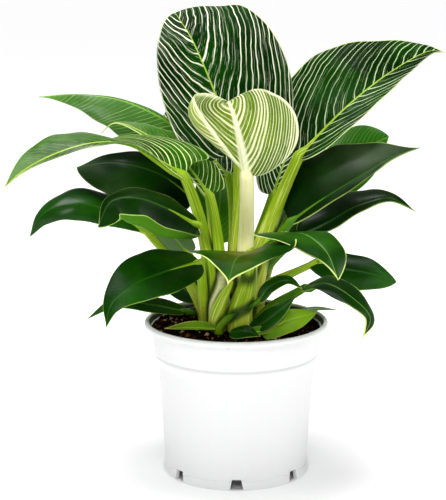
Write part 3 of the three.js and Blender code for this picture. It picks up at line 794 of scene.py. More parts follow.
@dataclass(frozen=True)
class Stalk:
    """A tapered fleshy stalk, channelled on its inner side and winged near its foot.

    Lengths are in millimetres, and angles round the stalk in radians from its inner side. Another
    stalk is looked at only when it comes nearer than CROWDED, and what is nearer to it than
    CREASE_REACH gets painted shade, as does the foot near the soil; BACKWARD_PULL turns the inner
    sides towards the back, away from the front.
    """

    name: str
    path: np.ndarray
    radii: np.ndarray
    tone: StalkTone
    wings: float = 0.4
    rounds: int = 32
    seed: float = 0.0

    SOIL_LEVEL = 97.0
    SOIL_SHADE_HEIGHT = 3.0
    CREASE_REACH = 4.0
    CROWDED = 18.0
    CHANNEL_SPREAD = 0.5
    CHANNEL_DEPTH = 0.14
    WING_AT = 0.9
    WING_SPREAD = 0.34
    WING_FADE = 1.3
    BACKWARD_PULL = 4.0

    def crease_shade(self, points: np.ndarray, crowd: list) -> np.ndarray:
        """How much painted shade places on the stalk get: more near another stalk and near the soil.

        Args:
            points: Places on its surface.
            crowd: All the stalks of the plant.

        Returns:
            A value from zero to one for each place.
        """
        gap = (points[..., 2] - self.SOIL_LEVEL) * self.CREASE_REACH / self.SOIL_SHADE_HEIGHT
        for other in crowd:
            near = np.linalg.norm(self.path[:, None] - other.path, axis=-1).min()
            if other.name == self.name or near > self.CROWDED:
                continue
            away = np.linalg.norm(points[:, :, None, :] - other.path[::2], axis=-1) - other.radii[::2]
            gap = np.minimum(gap, away.min(axis=-1))
        return np.clip(1.0 - gap / self.CREASE_REACH, 0.0, 1.0)

    def build(self, crowd: list) -> bpy.types.Object:
        """Builds the stalk.

        At each step the section is a circle of that step's radius in the plane across the path. Its
        radius shrinks round the inward direction, which makes the channel, and swells at each side of
        it, which makes the wings; both fade along the stalk.

        Args:
            crowd: All the stalks of the plant.

        Returns:
            The object.
        """
        steps = len(self.path)
        run = np.linspace(0.0, 1.0, steps)[:, None]
        turn = np.linspace(0.0, 2 * np.pi, self.rounds, endpoint=False)[None, :]
        tangent = unit(np.gradient(self.path, axis=0))
        inward = unit(bearing(90, 0) * self.BACKWARD_PULL - self.path * np.array([1.0, 1.0, 0.0]))
        inward = unit(inward - np.sum(inward * tangent, axis=1, keepdims=True) * tangent)
        beside = np.cross(tangent, inward)
        off = np.abs((turn + np.pi) % (2 * np.pi) - np.pi)
        fade = (1.0 - run) ** self.WING_FADE
        channel = np.exp(-((off / self.CHANNEL_SPREAD) ** 2))
        channel = channel * (self.CHANNEL_DEPTH + self.wings * 0.9 * fade)
        wing = np.exp(-(((off - self.WING_AT) / self.WING_SPREAD) ** 2)) * self.wings * fade
        radius = self.radii[:, None] * (1.0 - channel + wing)
        x, y = np.cos(turn), np.sin(turn)
        widen = 1.0 + 0.25 * self.wings * fade
        rings = (
            self.path[:, None, :]
            + (radius * x)[..., None] * inward[:, None, :]
            + (radius * y * widen)[..., None] * beside[:, None, :]
        )
        length = np.concatenate([[0.0], np.cumsum(np.linalg.norm(np.diff(self.path, axis=0), axis=1))])
        fields = {
            "run": (run, 0.0, 1.0),
            "ring_x": (x, 1.0, 1.0),
            "ring_y": (y, 0.0, 0.0),
            "length": (length[:, None], 0.0, length[-1]),
            "wing": (fade * min(1.0, self.wings * 2.0), 1.0, 0.0),
            "seed": (np.full((1, 1), self.seed), self.seed, self.seed),
            "crease_shade": (self.crease_shade(rings, crowd), 1.0, 0.0),
        }
        poles = (self.path[0] - tangent[0] * 0.2, self.path[-1] + tangent[-1] * self.radii[-1] * 0.7)
        return shell(self.name, rings, poles, fields, self.tone.material())


# ---- Leaves ----


@dataclass(frozen=True)
class Half:
    """What one half of a leaf has of its own; roll is a bend in degrees that grows near the margin."""

    shape: tuple | None = None
    fold: tuple | None = None
    curl: tuple | None = None
    sweep: float | None = None
    roll: tuple = (0.0, 0.0)


@dataclass(frozen=True)
class Rib:
    """A midrib: its points and, at each, the directions along it, off the upper side and across."""

    at: np.ndarray
    points: np.ndarray
    along: np.ndarray
    upper: np.ndarray
    across: np.ndarray

    def length(self) -> float:
        """Its length in millimetres."""
        return float(np.linalg.norm(np.diff(self.points, axis=0), axis=1).sum())


@dataclass(frozen=True)
class Leaf:
    """One leaf, from its petiole's foot on the stem to its tip.

    rib is the midrib from neck to tip; face holds azimuth and elevation of the upper side from neck to
    tip; wide is the half width to the left and right; shape is where the widest part lies, how blunt
    the neck is and how sharp the tip; fold and curl are degrees by which each half rises at the midrib
    and rolls towards its margin, at neck and tip; lobe is how far the neck's lobes reach back, as a
    share of the half width, and sweep how far the margin leans to the tip. foot is azimuth, height and
    radius on the stem, and stalk the petiole's radius at foot and neck; rise and flow are the shares of
    its span that it climbs first and in which it takes up the midrib's direction. spacing is the gap
    between side veins, slant and bow how they lean and curve, ruffle the height of the margin's waves,
    and keel and upper_keel the midrib's height below and above.
    """

    name: str
    tone: LeafTone
    rib: tuple
    face: tuple
    wide: tuple
    shape: tuple = (0.68, 0.55, 1.05)
    fold: tuple = (10, 6)
    curl: tuple = (-16, -18)
    lobe: float = 0.25
    sweep: float = 0.15
    foot: tuple | None = None
    stalk: tuple = (4, 2.5)
    rise: float = 0.35
    flow: float = 0.3
    left: Half = Half()
    right: Half = Half()
    stalk_tone: StalkTone = StalkTone.GREEN
    wings: float = 0.4
    spacing: float = 4.0
    ruffle: float = 0.7
    keel: float = 1.0
    upper_keel: float = 0.0
    slant: float = 0.75
    bow: float = 0.5

    ROWS = 110
    HALF_COLUMNS = 24
    THICKNESS = 0.3
    BEND_SAMPLES = 12
    LOBE_START = 40
    WAVE_LENGTH = 26.0
    WAVE_FULL_WIDTH = 15.0
    VEIN_STAGGER = 0.37
    RUN_IN_SHARE = 0.3
    RUN_IN_STEPS = 30
    PETIOLE_STEPS = 60

    def number(self) -> str:
        """The leaf's number as it stands in its name."""
        return self.name.rsplit("_", 1)[-1]

    def seed(self) -> float:
        """A number of its own for the leaf's random patterns."""
        return float(int(self.number()) * 7 + len(self.name))

    def frames(self, at: np.ndarray) -> Rib:
        """The midrib's frames.

        Args:
            at: Shares of the midrib's length.

        Returns:
            The midrib at those places.
        """
        points = curve_through(self.rib, at)
        along = unit(np.gradient(points, at, axis=0))
        upper = stations([bearing(*face) for face in self.face], at)
        upper = unit(upper - np.sum(upper * along, axis=1, keepdims=True) * along)
        return Rib(at, points, along, upper, np.cross(along, upper))

    def half_width(self, at: np.ndarray, side: int) -> np.ndarray:
        """Half width along the midrib: a sine hump, skewed by one power and sharpened by another."""
        half = self.right if side > 0 else self.left
        widest, blunt, sharp = half.shape or self.shape
        hump = np.clip(np.sin(np.pi * at**widest), 0.0, 1.0)
        return self.wide[1 if side > 0 else 0] * hump ** (blunt + (sharp - blunt) * at)

    def half_surface(self, rib: Rib, reach: np.ndarray, side: int) -> np.ndarray:
        """One half of the middle surface.

        Going out from the midrib, the surface turns by the fold, then steadily by the curl, and near
        the margin by the roll, which grows with the cube of the distance. Its place is the distance
        times the mean of that angle's cosines and sines. The margin is swept towards the tip, pulled
        back into a lobe at the neck, and ruffled by a sine.

        Args:
            rib: The midrib's frames.
            reach: Places from midrib to margin, zero to one.
            side: Plus one for the right half, minus one for the left.

        Returns:
            Points as rows by columns by three.
        """
        half = self.right if side > 0 else self.left
        at, out = rib.at[:, None], reach[None, :]
        width = self.half_width(rib.at, side)[:, None]
        fold = stations(half.fold or self.fold, rib.at)[:, None, None]
        curl = stations(half.curl or self.curl, rib.at)[:, None, None]
        share = (np.arange(self.BEND_SAMPLES) + 0.5) / self.BEND_SAMPLES
        far = out[..., None] * share
        roll = stations(half.roll, rib.at)[:, None, None]
        angle = np.radians(fold + curl * far + roll * far**3)
        flat = np.cos(angle).mean(axis=-1) * out * width
        lift = np.sin(angle).mean(axis=-1) * out * width
        count = rib.length() / self.WAVE_LENGTH
        waves = np.sin(2 * np.pi * (count * at + self.VEIN_STAGGER * side + self.seed() * 0.13))
        lift = lift + self.ruffle * waves * out**3 * np.clip(width / self.WAVE_FULL_WIDTH, 0.0, 1.0)
        sweep = self.sweep if half.sweep is None else half.sweep
        back = self.lobe * self.wide[1 if side > 0 else 0] * (1 - at) ** 4
        back = back * (1 - (1 - at) ** self.LOBE_START)
        shift = sweep * width * out**2 - back * out**2
        return (
            rib.points[:, None, :]
            + (side * flat)[..., None] * rib.across[:, None, :]
            + lift[..., None] * rib.upper[:, None, :]
            + shift[..., None] * rib.along[:, None, :]
        )

    def blade(self) -> bpy.types.Object:
        """Builds the blade: the middle surface given a thin, closed lens section and a midrib keel.

        Returns:
            The object.
        """
        even = np.linspace(0.0, 1.0, self.ROWS + 2)
        at = 0.5 * even + 0.25 * (1.0 - np.cos(np.pi * even))
        rib = self.frames(at)
        reach = 0.5 * (1.0 - np.cos(np.pi * np.linspace(0.0, 1.0, self.HALF_COLUMNS)))
        middle = np.concatenate(
            [self.half_surface(rib, reach, -1)[:, :0:-1], self.half_surface(rib, reach, 1)], axis=1
        )
        side = np.concatenate([-reach[:0:-1], reach])[None, :]
        normal = unit(np.cross(np.gradient(middle, axis=1), np.gradient(middle, axis=0)))
        width = np.where(side < 0, self.half_width(at, -1)[:, None], self.half_width(at, 1)[:, None])
        from_rib = np.abs(side) * width
        half = self.THICKNESS * np.sqrt(1.0 - np.abs(side) ** 8)
        swell = np.clip(1.0 - at[:, None], 0.0, 1.0) ** 0.7 * (1.0 - np.abs(side) ** 4)
        crest = np.exp(-((from_rib / (0.5 + 0.9 * swell)) ** 2)) * swell
        top = middle + normal * (half + (self.upper_keel - 0.25) * crest)[..., None]
        bottom = middle - normal * (half + self.keel * crest)[..., None]
        rings = np.concatenate([top, bottom[:, -2:0:-1]], axis=1)[1:-1]
        length = rib.length()
        vein = length * at[:, None] - width * (self.slant * np.abs(side) + self.bow * side**2)
        vein = vein / self.spacing + np.where(side < 0, self.VEIN_STAGGER, 0.0)

        def around(values: np.ndarray, below: np.ndarray | None = None) -> np.ndarray:
            """Carries values from the upper face round onto the lower one."""
            full = np.broadcast_to(values, (len(at), side.shape[1]))
            under = full if below is None else np.broadcast_to(below, full.shape)
            return np.concatenate([full, under[:, -2:0:-1]], axis=1)[1:-1]

        zero, one = np.zeros((1, 1)), np.ones((1, 1))
        seed = self.seed() + np.where(side < 0, 0.5, 0.0)
        fields = {
            "run": (around(at[:, None]), 0.0, 1.0),
            "vein": (around(vein), 0.0, length / self.spacing),
            "rib": (around(from_rib), 0.0, 0.0),
            "edge": (around(width - from_rib), 0.0, 0.0),
            "under": (around(zero, one), 0.0, 0.0),
            "seed": (around(seed), self.seed(), self.seed()),
        }
        poles = (rib.points[0], rib.points[-1])
        return shell(f"blade_{self.label()}", rings, poles, fields, self.tone.material())

    def label(self) -> str:
        """The end of the piece names of this leaf."""
        return self.number() if self.name.startswith("leaf") else f"short_{self.number()}"

    def stalks(self) -> tuple[Stalk, ...]:
        """The petiole, where there is one: a cubic Bezier from the stem, upwards first, to the midrib."""
        if self.foot is None:
            return ()
        azimuth, height, radius = self.foot
        outward = bearing(azimuth, 0)
        foot = outward * radius + np.array([0.0, 0.0, height])
        neck = np.asarray(self.rib[0], float)
        span = np.linalg.norm(neck - foot)
        rib = self.frames(np.linspace(0.0, self.RUN_IN_SHARE, self.RUN_IN_STEPS))
        leave = unit((neck - foot) / span * (1 - self.flow) + rib.along[0] * self.flow)
        t = np.linspace(0.0, 1.0, self.PETIOLE_STEPS)[:, None]
        first = foot + unit(outward * 0.15 + np.array([0.0, 0.0, 1.0])) * span * self.rise
        second = neck - leave * span * 0.33
        path = (1 - t) ** 3 * foot + 3 * t * (1 - t) ** 2 * first
        path = path + 3 * t**2 * (1 - t) * second + t**3 * neck
        radii = self.stalk[1] + (self.stalk[0] - self.stalk[1]) * (1 - t[:, 0]) ** 1.5
        tail = np.linspace(0.0, 1.0, self.RUN_IN_STEPS)[1:]
        tail_radii = self.stalk[1] * (1 - tail) + 0.5 * tail
        sink = tail_radii * 0.75 * np.clip(tail * 5.0, 0.0, 1.0)
        run_in = rib.points[1:] - rib.upper[1:] * sink[:, None]
        stalk = Stalk(
            f"petiole_{self.label()}",
            np.vstack([path, run_in]),
            np.concatenate([radii, tail_radii]),
            self.stalk_tone,
            wings=self.wings,
            seed=self.seed(),
        )
        return (stalk,)

    def build(self, crowd: list) -> None:
        """Builds the blade and, where the leaf has one, its petiole, and ties them to the frame."""
        is_short = not self.name.startswith("leaf")
        publish(self.blade(), self.tone.value.slot, self.name if is_short else f"{self.name}_blade")
        for stalk in self.stalks():
            nodes = () if is_short else (f"{self.name}_petiole",)
            publish(stalk.build(crowd), self.stalk_tone.slot(), *nodes)


# ---- Pot ----


@dataclass(frozen=True)
class NurseryPot:
    """The pot: bead rim, upper band, tapering wall, floor, and a foot ring with drainage notches."""

    height: float = 100.8
    rim_radius: float = 60.0
    rim_inner: float = 57.2
    rim_bead: float = 4.3
    band_top: float = 54.8
    band_foot: float = 53.9
    band_foot_z: float = 79.5
    wall_top: float = 51.3
    wall_top_z: float = 73.0
    wall_foot: float = 46.6
    thickness: float = 1.2
    foot_radius: float = 47.5
    foot_inner: float = 44.6
    foot_height: float = 5.0
    floor_under: float = 7.0
    floor_top: float = 8.6
    notches: int = 7
    notch_foot: float = 8.6
    notch_top: float = 6.0
    notch_height: float = 6.6
    columns_between: int = 22
    bend_points: int = 6

    def corners(self) -> list[tuple[float, float, float]]:
        """The section's corners from the underside, up the outside and down the inside.

        Returns:
            Radius, height and how far each corner is rounded.
        """
        bead = self.height - self.rim_bead
        return [
            (self.foot_inner - 0.4, self.floor_under, 0.0),
            (self.foot_inner, 0.0, 0.0),
            (self.foot_radius, 0.0, 0.0),
            (self.foot_radius - 0.1, self.foot_height, 0.0),
            (self.wall_foot, self.foot_height + 0.5, 0.0),
            (self.wall_top, self.wall_top_z, 2.4),
            (self.band_foot, self.band_foot_z, 1.6),
            (self.band_top, bead - 0.4, 0.35),
            (self.rim_radius - 0.4, bead - 0.1, 0.9),
            (self.rim_radius, self.height - 2.0, 0.8),
            (self.rim_radius - 1.6, self.height, 1.5),
            (self.rim_inner, self.height - 0.9, 0.7),
            (self.rim_inner - 0.4, bead + 0.2, 0.4),
            (self.band_top - self.thickness, bead - 1.4, 0.8),
            (self.band_foot - self.thickness, self.band_foot_z + 0.4, 1.0),
            (self.wall_top - self.thickness, self.wall_top_z + 0.4, 1.0),
            (self.wall_foot - self.thickness, self.floor_top, 0.6),
        ]

    def section(self) -> np.ndarray:
        """The section with its corners rounded: a parabola joins the two points beside each corner.

        Returns:
            Radius and height of each point.
        """
        corners = self.corners()
        places = np.array([corner[:2] for corner in corners])
        t = np.linspace(0.0, 1.0, self.bend_points)[:, None]
        points = []
        for i, (radius, height, cut) in enumerate(corners):
            here = np.array([radius, height])
            if cut == 0.0:
                points.append(here[None])
                continue
            before = here + unit(places[i - 1] - here) * cut
            after = here + unit(places[(i + 1) % len(places)] - here) * cut
            points.append((1 - t) ** 2 * before + 2 * t * (1 - t) * here + t**2 * after)
        return np.vstack(points)

    def columns(self) -> tuple[np.ndarray, np.ndarray]:
        """The angles of the section's copies round the axis, and which of them lie in a notch.

        Returns:
            Angles, and one in a notch and zero elsewhere.
        """
        wide, narrow = self.notch_foot / 2 / self.foot_radius, self.notch_top / 2 / self.foot_radius
        pitch = 2 * np.pi / self.notches
        plain = np.linspace(wide, pitch - wide, self.columns_between)
        one = np.concatenate([[-narrow, 0.0, narrow], plain])
        notched = np.concatenate([np.ones(3), np.zeros(self.columns_between)])
        starts = np.arange(self.notches)[:, None] * pitch - np.pi / 2
        return (starts + one).ravel(), np.tile(notched, self.notches)

    def build(self) -> None:
        """Turns the section round the axis; in a notch, what is lower than its top is lifted to it."""
        section = self.section()
        angle, notched = self.columns()
        radius = np.repeat(section[:, :1], len(angle), axis=1)
        height = np.repeat(section[:, 1:], len(angle), axis=1)
        outside = radius > self.foot_inner + 0.5
        low = (height < self.notch_height) & (notched[None, :] > 0)
        radius = np.where(low & outside, self.wall_foot + 0.02 * height, radius)
        height = np.where(low, self.notch_height + 0.05 * height, height)
        rings = np.stack([radius * np.cos(angle), radius * np.sin(angle), height], axis=-1)
        inner = np.arange(len(section)) > np.argmax(section[:, 1])
        fields = {
            "turn": (np.cos(angle)[None, :], 0.0, 0.0),
            "height": (height, 0.0, 0.0),
            "inside": (inner[:, None].astype(float), 0.0, 1.0),
        }
        poles = (np.array([0.0, 0.0, self.floor_under]), np.array([0.0, 0.0, self.floor_top]))
        piece = shell("nursery_pot", rings, poles, fields, PotPlastic().material(), sharp=40.0)
        publish(piece, "pot_plastic", "pot")


# ---- Soil ----


@dataclass(frozen=True)
class SoilBed:
    """Mounded soil with a lumpy top, loose crumbs and a few dry fibres."""

    pot: NurseryPot
    gap: float = 0.35
    crown: float = 96.9
    edge: float = 95.8
    lump: float = 0.9
    columns: int = 240
    top_rows: int = 80
    crumbs: int = 2600
    fibres: int = 70
    seed: int = 11
    longest_wave: float = 23.0

    def edge_radius(self) -> float:
        """Where the soil meets the pot's wall."""
        return self.pot.band_top - self.pot.thickness - self.gap - 0.2

    def lumps(self, x: np.ndarray, y: np.ndarray) -> np.ndarray:
        """Height of the lumps: a sum of sines of growing pitch in random directions."""
        rng = np.random.default_rng(self.seed)
        total = np.zeros_like(x)
        for wavelength in (self.longest_wave, 14.0, 9.0, 7.0, 5.0, 3.8, 3.0, 2.4):
            turn, phase = rng.uniform(0, 2 * np.pi, 2)
            wave = np.sin(2 * np.pi * (x * np.cos(turn) + y * np.sin(turn)) / wavelength + phase)
            total = total + wave * np.sqrt(wavelength / self.longest_wave) * self.lump * 0.5
        return total

    def surface(self, x: np.ndarray, y: np.ndarray) -> np.ndarray:
        """Height of the soil: a low mound that falls with the square of the radius, and its lumps."""
        share = np.hypot(x, y) / self.edge_radius()
        mound = self.crown - (self.crown - self.edge) * share**2
        return mound + self.lumps(x, y) * np.clip((1.0 - share) * 12.0, 0.0, 1.0)

    def bed(self) -> bpy.types.Object:
        """Builds the bed: the pot's inner side below and the lumpy surface above.

        Returns:
            The object.
        """
        pot, inset = self.pot, self.pot.thickness + self.gap
        side = np.array([
            (pot.wall_foot - inset, pot.floor_top + self.gap),
            (pot.wall_top - inset, pot.wall_top_z + 0.4),
            (pot.band_foot - inset, pot.band_foot_z + 0.4),
        ])
        angle = np.linspace(0.0, 2 * np.pi, self.columns, endpoint=False)[None, :]
        radius = np.linspace(self.edge_radius(), 0.6, self.top_rows)[:, None]
        x, y = radius * np.cos(angle), radius * np.sin(angle)
        top = np.stack([x, y, self.surface(x, y)], axis=-1)
        across, level = side[:, :1], np.broadcast_to(side[:, 1:], (len(side), self.columns))
        lower = np.stack([across * np.cos(angle), across * np.sin(angle), level], axis=-1)
        zero = np.zeros(1)
        crown = np.array([0.0, 0.0, float(self.surface(zero, zero)[0])])
        poles = (np.array([0.0, 0.0, pot.floor_top + self.gap]), crown)
        fields = {"tint": (np.zeros((1, 1)), 0.0, 0.0)}
        return shell("soil_bed", np.vstack([lower, top]), poles, fields, self.material)

    def grains(self, count: int, low: float, high: float, stretch: float, name: str) -> bpy.types.Object:
        """Scatters small stones or fibres on the surface, each a stretched and turned octahedron.

        Args:
            count: How many there are.
            low: The smallest size.
            high: The largest size.
            stretch: How much longer than wide they are.
            name: The piece's name.

        Returns:
            The object.
        """
        rng = np.random.default_rng(self.seed + count)
        corners = np.array([(1, 0, 0), (0, 1, 0), (-1, 0, 0), (0, -1, 0), (0, 0, 1), (0, 0, -1)], float)
        faces = np.array([
            (0, 1, 4), (1, 2, 4), (2, 3, 4), (3, 0, 4), (1, 0, 5), (2, 1, 5), (3, 2, 5), (0, 3, 5)
        ])
        size = low + (high - low) * rng.random(count) ** 2.5
        shape = rng.uniform(0.6, 1.2, (count, 6, 3)) * corners
        shape[:, :, 0] *= stretch
        tilt = rng.uniform(-0.5, 0.5, count)
        spin = rng.uniform(0, 2 * np.pi, count)
        x, z = shape[..., 0], shape[..., 2]
        cos, sin = np.cos(tilt)[:, None], np.sin(tilt)[:, None]
        shape = np.stack([x * cos - z * sin, shape[..., 1], x * sin + z * cos], axis=-1)
        x, y = shape[..., 0], shape[..., 1]
        cos, sin = np.cos(spin)[:, None], np.sin(spin)[:, None]
        shape = np.stack([x * cos - y * sin, x * sin + y * cos, shape[..., 2]], axis=-1)
        far = (self.edge_radius() + 1.8) * np.sqrt(rng.random(count))
        place = rng.uniform(0, 2 * np.pi, count)
        at = np.stack([far * np.cos(place), far * np.sin(place)], axis=-1)
        level = self.surface(at[:, 0], at[:, 1]) + size * 0.4
        points = shape * size[:, None, None] + np.column_stack([at, level])[:, None, :]
        triangles = (np.arange(count) * 6)[:, None, None] + faces
        mesh = bpy.data.meshes.new(name)
        mesh.from_pydata((points.reshape(-1, 3) * MM).tolist(), [], triangles.reshape(-1, 3).tolist())
        tint = np.repeat(rng.random(count), 6).astype(np.float32)
        mesh.attributes.new("tint", "FLOAT", "POINT").data.foreach_set("value", tint)
        return place_mesh(name, mesh, self.material, sharp=30.0)

    @property
    def material(self) -> bpy.types.Material:
        """The soil's material, made once."""
        return SoilFinish().material()

    def build(self) -> None:
        """Builds the bed, the crumbs and the fibres."""
        publish(self.bed(), "soil", "soil")
        publish(self.grains(self.crumbs, 0.4, 1.9, 1.2, "soil_crumbs"), "soil")
        publish(self.grains(self.fibres, 0.25, 0.5, 11.0, "soil_fibres"), "soil")


# ---- Crown of the plant ----


@dataclass(frozen=True)
class Sheath:
    """A fleshy pointed sheath or the stem itself, along a curve through a few points."""

    name: str
    points: tuple
    foot: float
    point: float
    tone: StalkTone = StalkTone.LIME
    wings: float = 0.5
    nodes: tuple = ()

    def stalks(self) -> tuple[Stalk, ...]:
        """The sheath's body: its radius stays full for a third of its length, then runs to its point."""
        at = np.linspace(0.0, 1.0, 50)
        radii = self.point + (self.foot - self.point) * np.clip(1.0 - at**2.2, 0.0, 1.0)
        path = curve_through(self.points, at)
        return (Stalk(self.name, path, radii, self.tone, self.wings, seed=self.foot + self.point),)

    def build(self, crowd: list) -> None:
        """Builds the sheath and ties it to the frame."""
        for stalk in self.stalks():
            publish(stalk.build(crowd), self.tone.slot(), *self.nodes)


CROWN = (
    Sheath(
        "stem_crown", ((-3, -2, 96.4), (-1, -2, 111), (0, -2, 126)), 11, 5, wings=0.0, nodes=("stem",),
    ),
    Sheath(
        "sheath_01", ((-12, -22, 97.9), (-12.8, -24, 107), (-9.5, -25, 118), (-3, -24.5, 131)), 4.8, 1.2,
        nodes=("cataphyll_01",),
    ),
    Sheath(
        "sheath_02", ((2, -23, 97.9), (2.5, -25, 110), (6.5, -24, 126), (10, -20, 146)), 7, 3.2,
        nodes=("cataphyll_02",),
    ),
    Sheath(
        "sheath_03", ((-11, -15, 97.9), (-11.5, -16, 115), (-8.5, -15, 142)), 6.5, 2,
        StalkTone.CREAM, nodes=("cataphyll_03",),
    ),
)


# ---- The leaves ----

